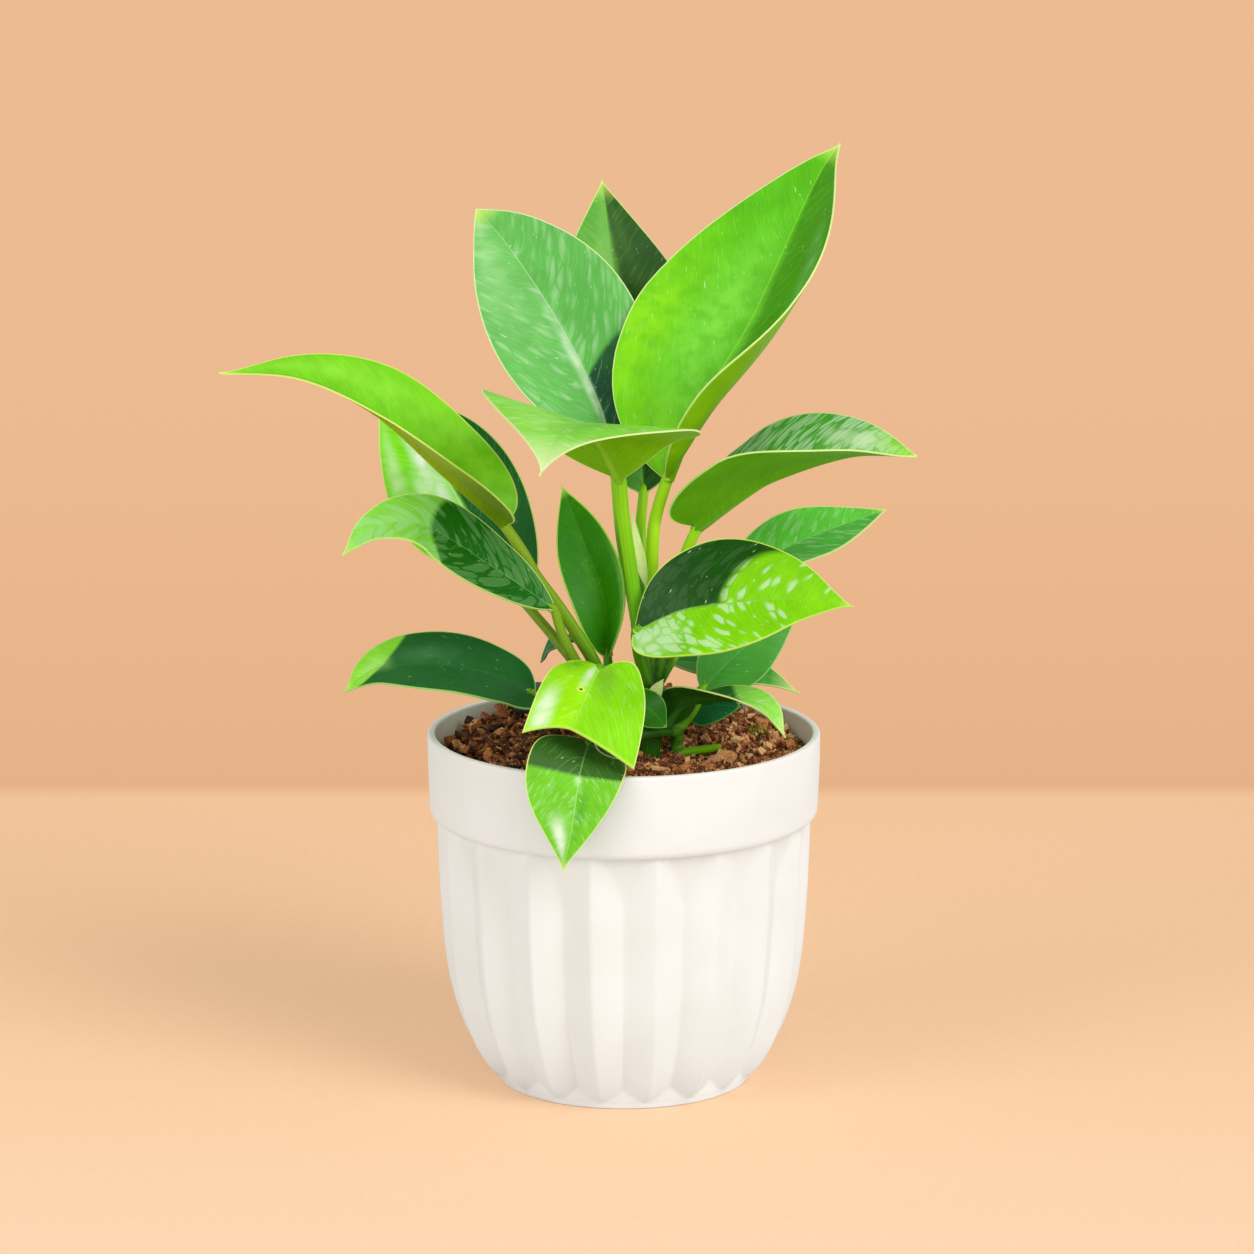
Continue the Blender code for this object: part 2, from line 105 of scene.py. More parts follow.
def spline(points, steps):
    """A smooth curve through the points, as a list of vectors."""
    known = [Vector(point) for point in points]
    known = [2 * known[0] - known[1]] + known + [2 * known[-1] - known[-2]]
    curve = []
    for a, b, c, d in zip(known, known[1:], known[2:], known[3:]):
        for step in range(steps):
            t = step / steps
            curve.append(0.5 * (2 * b + (c - a) * t + (2 * a - 5 * b + 4 * c - d) * t ** 2
                                + (3 * b - a - 3 * c + d) * t ** 3))
    return curve + [known[-2]]


def add_piece(name, mesh, materials, stands_for=()):
    """Put a finished mesh in the scene as a piece of the plant."""
    for material in materials:
        mesh.materials.append(material)
    made = bpy.data.objects.new(name, mesh)
    bpy.context.scene.collection.objects.link(made)
    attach(made, "root")
    if stands_for:
        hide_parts(*stands_for)
    return made


def ridge_radius(height):
    """The pot's outside radius on a pleat's ridge."""
    for low, high in zip(ridge_curve, ridge_curve[1:]):
        if height <= high.y:
            return low.x + (high.x - low.x) * (height - low.y) / (high.y - low.y)
    return ridge_curve[-1].x


def pleat(angle):
    """0 on a ridge and 1 in a valley, both a little rounded; a valley faces the front."""
    turn = (angle + pi / 2) * PLEATS / (2 * pi) % 1.0
    slope = 1.0 - 2.0 * min(turn, 1.0 - turn)
    edge = min(slope, 1.0 - slope)
    if edge < PLEAT_ROUND:
        eased = (edge * edge / PLEAT_ROUND + PLEAT_ROUND) / 2
        slope += (eased - edge) * (1 if slope < 0.5 else -1)
    return slope


def arc(centre, radius, start, end, steps):
    """Points of (radius, height) on an arc between two angles in degrees."""
    turns = [radians(start + (end - start) * step / steps) for step in range(steps + 1)]
    return [(centre[0] + radius[0] * cos(turn), centre[1] + radius[1] * sin(turn))
            for turn in turns]


ridge_curve = spline([(radius, height, 0.0) for radius, height in RIDGE], 8)
inner = POT_RADIUS - WALL
profile = [(0.0, FLOOR), (FLOOR_RADIUS, FLOOR)]
profile += [(ridge_radius(height) - WALL, height)
            for height in (9, 14, 22, 30, 38, 60, 80, 92, 96.5)]
profile += [(inner, 105.0), (inner, 112.0), (inner, 119.0)]
profile += arc((inner + LIP, POT_HEIGHT - LIP), (LIP, LIP), 180, 90, 5)
profile += arc((POT_RADIUS - LIP, POT_HEIGHT - LIP), (LIP, LIP), 90, 0, 5)
profile += [(POT_RADIUS, 122.0), (POT_RADIUS, 118.0), (69.8, 112.0), (69.5, 105.0)]
profile += arc((66.9, 100.0), (2.4, 3.0), 0, -90, 7)
heights = [96.4, 95, 92, 88] + list(range(84, 20, -4)) + [h / 10 for h in range(200, 24, -8)]
profile += [(ridge_radius(height), height) for height in heights]
profile += [(46.0, 2.4), (FOOT_RADIUS, 1.6), (FOOT_RADIUS, 0.8), (45.35, 0.22), (44.8, 0.0),
            (0.0, 0.0)]

bm = bmesh.new()
chain = [bm.verts.new((radius * MM, 0.0, height * MM)) for radius, height in profile]
edges = [bm.edges.new(pair) for pair in zip(chain, chain[1:])]
bmesh.ops.spin(bm, geom=chain + edges, cent=(0, 0, 0), axis=(0, 0, 1), dvec=(0, 0, 0),
               angle=2 * pi, steps=PLEATS * STEPS_PER_PLEAT, use_merge=True)
bmesh.ops.remove_doubles(bm, verts=bm.verts, dist=0.000002)
bmesh.ops.recalc_face_normals(bm, faces=bm.faces)
for vertex in bm.verts:
    radius, height = vertex.co.xy.length / MM, vertex.co.z / MM
    if radius > FLOOR_RADIUS + 1.0 and 1.2 < height < PLEAT_TOP + 0.1:
        pressed = radius - PLEAT_DEPTH * pleat(atan2(vertex.co.y, vertex.co.x))
        if radius > ridge_radius(height) - WALL / 2:
            pressed = max(pressed, min(radius, FOOT_RADIUS + FOOT_FLARE * height))
        vertex.co.xy *= pressed / radius
mesh = bpy.data.meshes.new("pot_moulding")
bm.to_mesh(mesh)
bm.free()
mesh.shade_smooth()
mesh.set_sharp_from_angle(angle=radians(50))

# Moulded polypropylene: off-white right through, so worn edges show no other colour. The
# grain of the mould is about 0.5 mm; the wall inside is a little soiled above the soil.
polypropylene, tree, shader = finish("Moulded polypropylene, matte off-white", 0.52)
place = node(tree, "TexCoord").outputs["Object"]
cloud = node(tree, "TexNoise", {"Vector": place, "Scale": 1 / (28 * MM), "Detail": 3.0})
tone = node(tree, "ValToRGB", {"Fac": cloud}, stops=[(0.35, "F2EFEC"), (0.65, "F6F4F2")])
level = node(tree, "VectorMath", {0: place, 1: (1.0, 1.0, 0.0)}, operation="MULTIPLY")
from_axis = node(tree, "VectorMath", {0: level}, operation="LENGTH").outputs["Value"]
inside = node(tree, "MapRange", {"Value": from_axis, "From Min": (inner + 0.8) * MM,
                                 "From Max": (inner + 0.2) * MM})
split = node(tree, "SeparateXYZ", {0: place})
smear = node(tree, "TexNoise", {"Vector": place, "Scale": 1 / (3.5 * MM), "Detail": 4.0})
reach = node(tree, "Math", {0: smear, 1: STAIN_RISE * MM, 2: STAIN_TOP * MM},
             operation="MULTIPLY_ADD")
over = node(tree, "Math", {0: reach, 1: split.outputs["Z"]}, operation="SUBTRACT")
soiled = node(tree, "MapRange", {"Value": over, "From Min": -1.5 * MM, "From Max": 1.0 * MM,
                                 "To Max": STAIN})
above = node(tree, "MapRange", {"Value": split.outputs["Z"], "From Min": 104 * MM,
                                "From Max": 108 * MM})
mark = node(tree, "Math", {0: inside, 1: soiled}, operation="MULTIPLY")
mark = node(tree, "Math", {0: mark, 1: above}, operation="MULTIPLY")
skin = node(tree, "Mix", {0: mark, 6: tone, 7: linear("8A6B52")}, data_type="RGBA")
grain = node(tree, "TexNoise", {"Vector": place, "Scale": 1 / (0.5 * MM), "Detail": 2.0})
relief = node(tree, "Bump", {"Strength": 0.12, "Distance": 0.05 * MM, "Height": grain})
sheen = node(tree, "MapRange", {"Value": cloud, "To Min": 0.46, "To Max": 0.58})
feed(shader, {"Base Color": skin.outputs[2], "Roughness": sheen, "Normal": relief})
add_piece("pot_moulding", mesh, [polypropylene], ["pot"])

# ---------------------------------------------------------------------------
# The growing medium. Composted pine bark in chips, with coir and peat crumbs
# between them. It has settled level in front, is heaped behind the stems, and
# lies against the pot's wall about 9 mm below the rim.

SOIL_FRONT, SOIL_RADIUS = 117.0, 66.7
HEAP, HEAP_CENTRE, HEAP_REACH = 15.0, (0.0, 40.0), (46.0, 27.0)
CLODS = 0.9
CRUMBS, SETTLED = ((1.3, 6.0), (0.8, 2.3), (0.35, 1.1)), 0.4      # crumbs as (height, width)
SOIL_GRID = 170              # squares across, about 0.8 mm each
BED_SIDE = ((SOIL_RADIUS, 106.0), (55.0, 95.0), (50.0, 40.0), (36.0, 6.0))     # down to the floor
CHIP_TILT, PLATES = 0.7, 0.45        # how far chips lie out of level, share that are flat plates
CHIP_WIDE, CHIP_DEEP = (0.4, 0.72), (0.3, 0.55)      # shares of a chip's length
CHIP_REACH, BROKEN = 66.2, (-0.38, 0.22)             # how far out chips lie, how broken they are
# Chips as (count, shortest and longest in mm, heaped against the wall)
CHIPS = ((220, (3.2, 6.8), False), (1500, (1.8, 3.6), False), (3800, (0.8, 1.8), False),
         (150, (2.5, 6.0), True))
FIBRES, FIBRE_STEPS, FIBRE_STEP, FIBRE_HALF = 170, 9, 1.1, 0.13
MOSS_AT, MOSS_RADIUS, MOSS_STEMS, MOSS_TALL = (48.0, 20.7), 3.6, 90, (1.2, 4.2)
chance = random.Random(7)


def soil_height(x, y):
    """The settled surface: level in front, with a heap behind and low clods all over."""
    off_x = (x - HEAP_CENTRE[0]) / HEAP_REACH[0]
    off_y = (y - HEAP_CENTRE[1]) / HEAP_REACH[1]
    clods = CLODS * (sin(0.55 * x + 1.3) * cos(0.47 * y) + 0.6 * sin(0.31 * (x - y)))
    return SOIL_FRONT + HEAP * exp(-off_x * off_x - off_y * off_y) + clods


bm = bmesh.new()
bmesh.ops.create_grid(bm, x_segments=SOIL_GRID, y_segments=SOIL_GRID, size=1.0)
for vertex in bm.verts:
    u, v = vertex.co.x, vertex.co.y
    x = SOIL_RADIUS * u * (1 - v * v / 2) ** 0.5
    y = SOIL_RADIUS * v * (1 - u * u / 2) ** 0.5
    at = Vector((x, y, 0.0))
    crumbs = sum(high * noise.noise(at / wide) for high, wide in CRUMBS)
    vertex.co = (x * MM, y * MM, (soil_height(x, y) + crumbs - SETTLED) * MM)
rim = [edge for edge in bm.edges if edge.is_boundary]
for radius, height in BED_SIDE:
    grown = bmesh.ops.extrude_edge_only(bm, edges=rim)["geom"]
    for vertex in [item for item in grown if isinstance(item, bmesh.types.BMVert)]:
        vertex.co.xy *= radius * MM / vertex.co.xy.length
        vertex.co.z = height * MM
    rim = [item for item in grown if isinstance(item, bmesh.types.BMEdge)]
bmesh.ops.edgeloop_fill(bm, edges=rim)
bmesh.ops.recalc_face_normals(bm, faces=bm.faces)
mesh = bpy.data.meshes.new("soil_bed")
bm.to_mesh(mesh)
bm.free()
mesh.shade_smooth()

# Peat and coir dust: dark red-brown, dull, in crumbs of about 1 mm.
peat, tree, shader = finish("Peat and coir crumbs", 0.95, ior=1.4)
place = node(tree, "TexCoord").outputs["Object"]
crumb = node(tree, "TexNoise", {"Vector": place, "Scale": 1 / (1.3 * MM), "Detail": 5.0,
                                "Roughness": 0.65})
tone = node(tree, "ValToRGB", {"Fac": crumb},
            stops=[(0.3, "180C04"), (0.46, "5E341A"), (0.58, "A86C3C"), (0.72, "E0A870")])
relief = node(tree, "Bump", {"Strength": 0.9, "Distance": 0.8 * MM, "Height": crumb})
feed(shader, {"Base Color": tone, "Normal": relief})
add_piece("soil_bed", mesh, [peat], ["soil"])


def lay_chip(bm, tints, strands, at, size, plate):
    """One broken chip: a split plate or a crumb, knocked out of true, turned and laid down."""
    if plate:
        made = bmesh.ops.create_cube(bm, size=1.0)["verts"]
    else:
        made = bmesh.ops.create_icosphere(bm, subdivisions=1, radius=0.5)["verts"]
    tilt = [chance.gauss(0, CHIP_TILT) for _ in range(2)]
    turn = Euler((*tilt, chance.uniform(0, 2 * pi))).to_matrix()
    painted_light_right = 0.3 * min(1.0, max(0.0, (at[0] + 10) / 45))      # painted light: lighter to the right, where light falls on the soil
    tint = 0.8 * chance.random() + painted_light_right
    for vertex in made:
        x, y, z = [a * b * (1.0 + chance.uniform(*BROKEN)) for a, b in zip(vertex.co, size)]
        vertex.co = turn @ Vector((x, y, z)) * MM + Vector(at) * MM
        vertex[tints] = tint
        vertex[strands] = Vector((x * 0.3, y * 1.3, z * 1.3)) + Vector(at) * 3.0


bm = bmesh.new()
tint_layer = bm.verts.layers.float.new("tint")
strand_layer = bm.verts.layers.float_vector.new("strands")
for count, lengths, against_wall in CHIPS:
    for _ in range(count):
        length = chance.uniform(*lengths)
        size = (length, length * chance.uniform(*CHIP_WIDE), length * chance.uniform(*CHIP_DEEP))
        if against_wall:     # heaped up against the wall at the left and at the back
            angle, radius = radians(chance.uniform(70, 215)), chance.uniform(48, 64)
            raised = chance.uniform(0.5, 4.0)
        else:
            angle, radius = chance.uniform(0, 2 * pi), 65.5 * chance.random() ** 0.5
            raised = chance.uniform(-0.1, 0.4) * size[2] + 0.5
        radius = min(radius, CHIP_REACH - length * 0.5)
        x, y = radius * cos(angle), radius * sin(angle)
        at = (x, y, soil_height(x, y) + raised)
        lay_chip(bm, tint_layer, strand_layer, at, size, chance.random() < PLATES)
mesh = bpy.data.meshes.new("bark_chips")
bm.to_mesh(mesh)
bm.free()

# Composted pine bark: split faces from near black to tan, one tone to a chip, with strands
# about 0.8 mm apart along each chip.
bark, tree, shader = finish("Composted pine bark", 0.85, ior=1.45)
place = node(tree, "TexCoord").outputs["Object"]
tint = node(tree, "Attribute", attribute_name="tint").outputs["Fac"]
strands = node(tree, "Attribute", attribute_name="strands").outputs["Vector"]
fibre = node(tree, "TexNoise", {"Vector": strands, "Scale": 1.0, "Detail": 4.0, "Roughness": 0.6})
shift = node(tree, "Math", {0: fibre, 1: 1.3, 2: -0.65}, operation="MULTIPLY_ADD")
mixed = node(tree, "Math", {0: tint, 1: shift}, operation="ADD")
tone = node(tree, "ValToRGB", {"Fac": mixed},
            stops=[(0.0, "1A0C06"), (0.28, "6A381A"), (0.55, "B87040"), (0.8, "E29C58"),
                   (1.0, "F4C48C")])
relief = node(tree, "Bump", {"Strength": 1.0, "Distance": 0.6 * MM, "Height": fibre})
feed(shader, {"Base Color": tone, "Normal": relief})
add_piece("bark_chips", mesh, [bark])


def rods(name, runs, sides):
    """Closed round rods along runs of (point, radius), all in one mesh."""
    data = bpy.data.curves.new(name, "CURVE")
    data.dimensions, data.bevel_depth, data.bevel_resolution = "3D", MM, sides // 2 - 2
    data.use_fill_caps = True
    for run in runs:
        line = data.splines.new("POLY")
        line.points.add(len(run) - 1)
        for knot, (point, radius) in zip(line.points, run):
            knot.co, knot.radius = (*(Vector(point) * MM), 1.0), radius
    drawn = bpy.data.objects.new(name, data)
    bpy.context.scene.collection.objects.link(drawn)
    graph = bpy.context.evaluated_depsgraph_get()
    made = bpy.data.meshes.new_from_object(drawn.evaluated_get(graph))
    bpy.data.objects.remove(drawn)
    bpy.data.curves.remove(data)
    bm = bmesh.new()
    bm.from_mesh(made)
    bmesh.ops.remove_doubles(bm, verts=bm.verts, dist=0.000005)
    bmesh.ops.recalc_face_normals(bm, faces=bm.faces)
    bm.to_mesh(made)
    bm.free()
    made.shade_smooth()
    made.name = name
    return made


fibres = []
for _ in range(FIBRES):
    angle, radius = chance.uniform(0, 2 * pi), 62 * chance.random() ** 0.5
    x, y, heading = radius * cos(angle), radius * sin(angle), chance.uniform(0, 2 * pi)
    bend, run = chance.uniform(-0.35, 0.35), []
    for step in range(FIBRE_STEPS):
        if hypot(x, y) < 66:
            lift = 0.9 + 0.7 * sin(step * 0.9 + angle * 7)
            half = FIBRE_HALF if 0 < step < FIBRE_STEPS - 1 else 0.05
            run.append(((x, y, soil_height(x, y) + lift), half))
        x, y = x + cos(heading) * FIBRE_STEP, y + sin(heading) * FIBRE_STEP
        heading += bend
    if len(run) > 3:
        fibres.append(run)

# Coir: single husk fibres about 0.25 mm thick, tan and dry.
coir, tree, shader = finish("Coir husk fibre", 0.8, ior=1.45)
place = node(tree, "TexCoord").outputs["Object"]
cloud = node(tree, "TexNoise", {"Vector": place, "Scale": 1 / (8 * MM)})
tone = node(tree, "ValToRGB", {"Fac": cloud},
            stops=[(0.35, "6B4128"), (0.7, "B58A5E")])
feed(shader, {"Base Color": tone})
add_piece("coir_fibres", rods("coir_fibres", fibres, 4), [coir])

tufts = []
for _ in range(MOSS_STEMS):
    angle, radius = chance.uniform(0, 2 * pi), MOSS_RADIUS * chance.random() ** 0.7
    x, y = MOSS_AT[0] + radius * cos(angle), MOSS_AT[1] + radius * sin(angle)
    low, lean = soil_height(x, y) + 0.6, chance.uniform(0.3, 1.6)
    tall = chance.uniform(*MOSS_TALL) * (1 - radius / 6)
    off_x, off_y = lean * cos(angle), lean * sin(angle)
    tufts.append([((x, y, low), 0.22),
                  ((x + 0.4 * off_x, y + 0.4 * off_y, low + 0.6 * tall), 0.18),
                  ((x + off_x, y + off_y, low + tall), 0.06)])

# Moss: a small live cushion on the bark, its green uneven in patches about 2 mm across.
moss, tree, shader = finish("Cushion moss", 0.7, ior=1.4)
place = node(tree, "TexCoord").outputs["Object"]
cloud = node(tree, "TexNoise", {"Vector": place, "Scale": 1 / (2 * MM)})
tone = node(tree, "ValToRGB", {"Fac": cloud},
            stops=[(0.3, "3E4A0C"), (0.5, "7E7A1C"), (0.7, "C0B040")])
feed(shader, {"Base Color": tone})
add_piece("moss_tuft", rods("moss_tuft", tufts, 4), [moss])

# ---------------------------------------------------------------------------
# The small stone on the heap behind the left stalks. A slate-grey river
# pebble, worn smooth, with fine pale specks.

PEBBLE_AT, PEBBLE_SIZE, PEBBLE_SUNK = (-31.0, 36.0), (22.0, 17.0, 13.0), 3.0
bm = bmesh.new()
bmesh.ops.create_icosphere(bm, subdivisions=5, radius=0.5)
rest = Vector((*PEBBLE_AT, soil_height(*PEBBLE_AT) + PEBBLE_SIZE[2] / 2 - PEBBLE_SUNK))
for vertex in bm.verts:
    lump = 1.0 + 0.05 * sin(5.0 * vertex.co.x + 2.0) * cos(6.0 * vertex.co.y)
    lump += 0.012 * noise.noise(vertex.co * 6.0)
    vertex.co = (Vector(a * b for a, b in zip(vertex.co, PEBBLE_SIZE)) * lump + rest) * MM
mesh = bpy.data.meshes.new("river_pebble")
bm.to_mesh(mesh)
bm.free()
mesh.shade_smooth()
slate, tree, shader = finish("Water-worn slate", 0.45, ior=1.55)
place = node(tree, "TexCoord").outputs["Object"]
cloud = node(tree, "TexNoise", {"Vector": place, "Scale": 1 / (5 * MM), "Detail": 4.0})
tone = node(tree, "ValToRGB", {"Fac": cloud}, stops=[(0.35, "2C3036"), (0.7, "4B5159")])
speck = node(tree, "TexNoise", {"Vector": place, "Scale": 1 / (0.5 * MM), "Detail": 2.0})
pale = node(tree, "MapRange", {"Value": speck, "From Min": 0.66, "From Max": 0.72, "To Max": 0.5})
skin = node(tree, "Mix", {0: pale, 6: tone, 7: linear("8E949A")}, data_type="RGBA")
relief = node(tree, "Bump", {"Strength": 0.25, "Distance": 0.1 * MM, "Height": speck})
feed(shader, {"Base Color": skin.outputs[2], "Normal": relief})
add_piece("river_pebble", mesh, [slate], ["pebble"])

# ---------------------------------------------------------------------------
# The upright leaves at the top of the plant. Every leaf is one waxy blade on
# a round stalk: a paler rib runs down its middle, side veins leave the rib and
# bend towards the tip, and a thin cream edge runs round it.

LEAF_THICK, ROW_STEP, COLUMN_STEP = 0.6, 1.5, 4.2
VEIN_SPACING, VEIN_HALF, VEIN_WANDER = 5.5, 0.3, 11.0    # how far veins stray, over as long a way
CLOUD, SMEAR, CELL_ROW, CELL_RUN = 14.0, 7.0, 0.9, 7.0   # sizes of the skin's uneven places
FLECK_WIDE, FLECK_LONG = 1.0, 2.2
EDGE_WIDE, EDGE_FADES = 0.22, 0.52                       # the cream edge is whole, and has gone
stalk_runs = {"main": [], "left": [], "right": []}


def on_curve(curve, distance):
    """The point and direction at a distance along a curve, running on past its ends."""
    start = (curve[1] - curve[0]).normalized()
    if distance <= 0:
        return curve[0] + start * distance, start
    for here, there in zip(curve, curve[1:]):
        length = (there - here).length
        if distance <= length:
            return here + (there - here) * (distance / length), (there - here).normalized()
        distance -= length
    end = (curve[-1] - curve[-2]).normalized()
    return curve[-1] + end * distance, end


def facing(azimuth, elevation):
    """The direction at an azimuth, 0 to the front and 90 to the right, and an elevation."""
    turn, rise = radians(azimuth), radians(elevation)
    return Vector((sin(turn) * cos(rise), -cos(turn) * cos(rise), sin(rise)))


def blade(name, midrib, width, looks, fold, skins, widest=0.36, base=0.5, tip=1.15, lobes=(0, 0),
          cup=(0, 0), spurs=(0, 0), lopsided=0.0, wave=0.5, rib=2.2, lean=0.7, slot="leaf_green",
          thick=LEAF_THICK):
    """Grow one leaf blade: a sheet shaped about its midrib, then given its thickness.

    looks is where the upper face looks at base and tip as (azimuth, elevation), fold the
    angle that its halves fold up by at base, middle and tip, widest the share of its length
    where it is widest, base and tip how blunt (low) or drawn out (high) its ends are, lean
    how far its veins lean to the tip. A pair is for its two halves: lobes reach back beside
    the stalk and spurs on past the tip in mm, and cup is how far a half rolls up in degrees.
    """
    curve = spline(midrib, 24)
    length = sum((there - here).length for here, there in zip(curve, curve[1:]))
    half = width / 2
    rows, columns = max(24, round(length / ROW_STEP)), 2 * max(7, round(width / COLUMN_STEP))
    bm = bmesh.new()
    bmesh.ops.create_grid(bm, x_segments=columns, y_segments=rows, size=1.0)
    along_layer = bm.verts.layers.float.new("along")
    side_layer = bm.verts.layers.float.new("side")
    margin_layer = bm.verts.layers.float.new("margin")
    rib_weight = bm.verts.layers.deform.new()
    flat_map, vein_map = bm.loops.layers.uv.new("blade"), bm.loops.layers.uv.new("veins")
    across_of = {}
    for vertex in bm.verts:
        hand = 1 if vertex.co.x >= 0 else -1
        side = hand * abs(vertex.co.x) ** 1.45       # closer columns by the rib
        along = (1 - cos(pi * (vertex.co.y + 1) / 2)) / 2
        if along <= widest:
            blunt = base[hand > 0] if isinstance(base, tuple) else base
            share = (1 - (1 - along / widest) ** 2) ** blunt
        else:
            past = (along - widest) / (1 - widest)
            share = max(0.0, 1 - past * past) ** tip
        least = 0.22 + 0.45 * rib * (1 - along) ** 14        # the base is as wide as the rib
        reach = max(half * share * (1 - lopsided * along * hand), least)
        out = reach * abs(side)
        distance = along * length - lobes[hand > 0] * 2.4 * share * (1 - along) ** 5 * side * side
        distance += spurs[hand > 0] * abs(side) ** 1.6 * along ** 3
        point, direction = on_curve(curve, distance)
        upper = facing(*looks[0]).lerp(facing(*looks[1]), along)
        upper = (upper - direction * upper.dot(direction)).normalized()
        sideways = direction.cross(upper)
        angle = radians(fold[0] * (1 - along) * (1 - 2 * along) + fold[1] * 4 * along * (1 - along)
                        + fold[2] * along * (2 * along - 1))
        bend = radians(cup[hand > 0]) * (1 - along) / reach
        if abs(bend) < 1e-6:
            shift, lift = out * cos(angle), out * sin(angle)
        else:
            shift = (sin(angle + bend * out) - sin(angle)) / bend
            lift = (cos(angle) - cos(angle + bend * out)) / bend
        # The edge waves, and a shallow groove runs over the rib
        lift += wave * sin(along * 11.0 + hand * 1.3 + length) * side * side * share
        lift -= 0.35 * exp(-(out / 1.4) ** 2) * (1 - along)
        vertex.co = (point + sideways * hand * shift + upper * (lift + thick / 2)) * MM
        vertex[along_layer], vertex[side_layer] = along, side
        vertex[margin_layer] = reach * (1 - abs(side))
        swell = (1 - along) ** 0.8 * exp(-(out / 1.5) ** 2)
        vertex[rib_weight][0] = min(1.0, (thick + (rib - thick) * swell) / rib)
        across_of[vertex] = (hand * out, along * length)
    for face in bm.faces:
        left = sum(vertex[side_layer] for vertex in face.verts) < 0
        for corner in face.loops:
            across, run = across_of[corner.vert]
            corner[flat_map].uv = (across, run)
            corner[vein_map].uv = (run - lean * abs(across) - 0.6 * across * across / half,
                                   abs(across) + (200.0 if left else 0.0))
    mesh = bpy.data.meshes.new(name)
    bm.to_mesh(mesh)
    bm.free()
    sheet = bpy.data.objects.new(name, mesh)
    for material in skins:
        mesh.materials.append(material)
    bpy.context.scene.collection.objects.link(sheet)
    sheet.vertex_groups.new(name="rib")
    solid = sheet.modifiers.new("thickness", "SOLIDIFY")
    solid.thickness, solid.offset, solid.vertex_group = rib * MM, -1.0, "rib"
    solid.material_offset = 1
    graph = bpy.context.evaluated_depsgraph_get()
    thick_mesh = bpy.data.meshes.new_from_object(sheet.evaluated_get(graph))
    bpy.data.objects.remove(sheet)
    bpy.data.meshes.remove(mesh)
    thick_mesh.shade_smooth()
    thick_mesh.set_sharp_from_angle(angle=radians(50))
    return add_piece(name + "_blade", thick_mesh, [], [name])


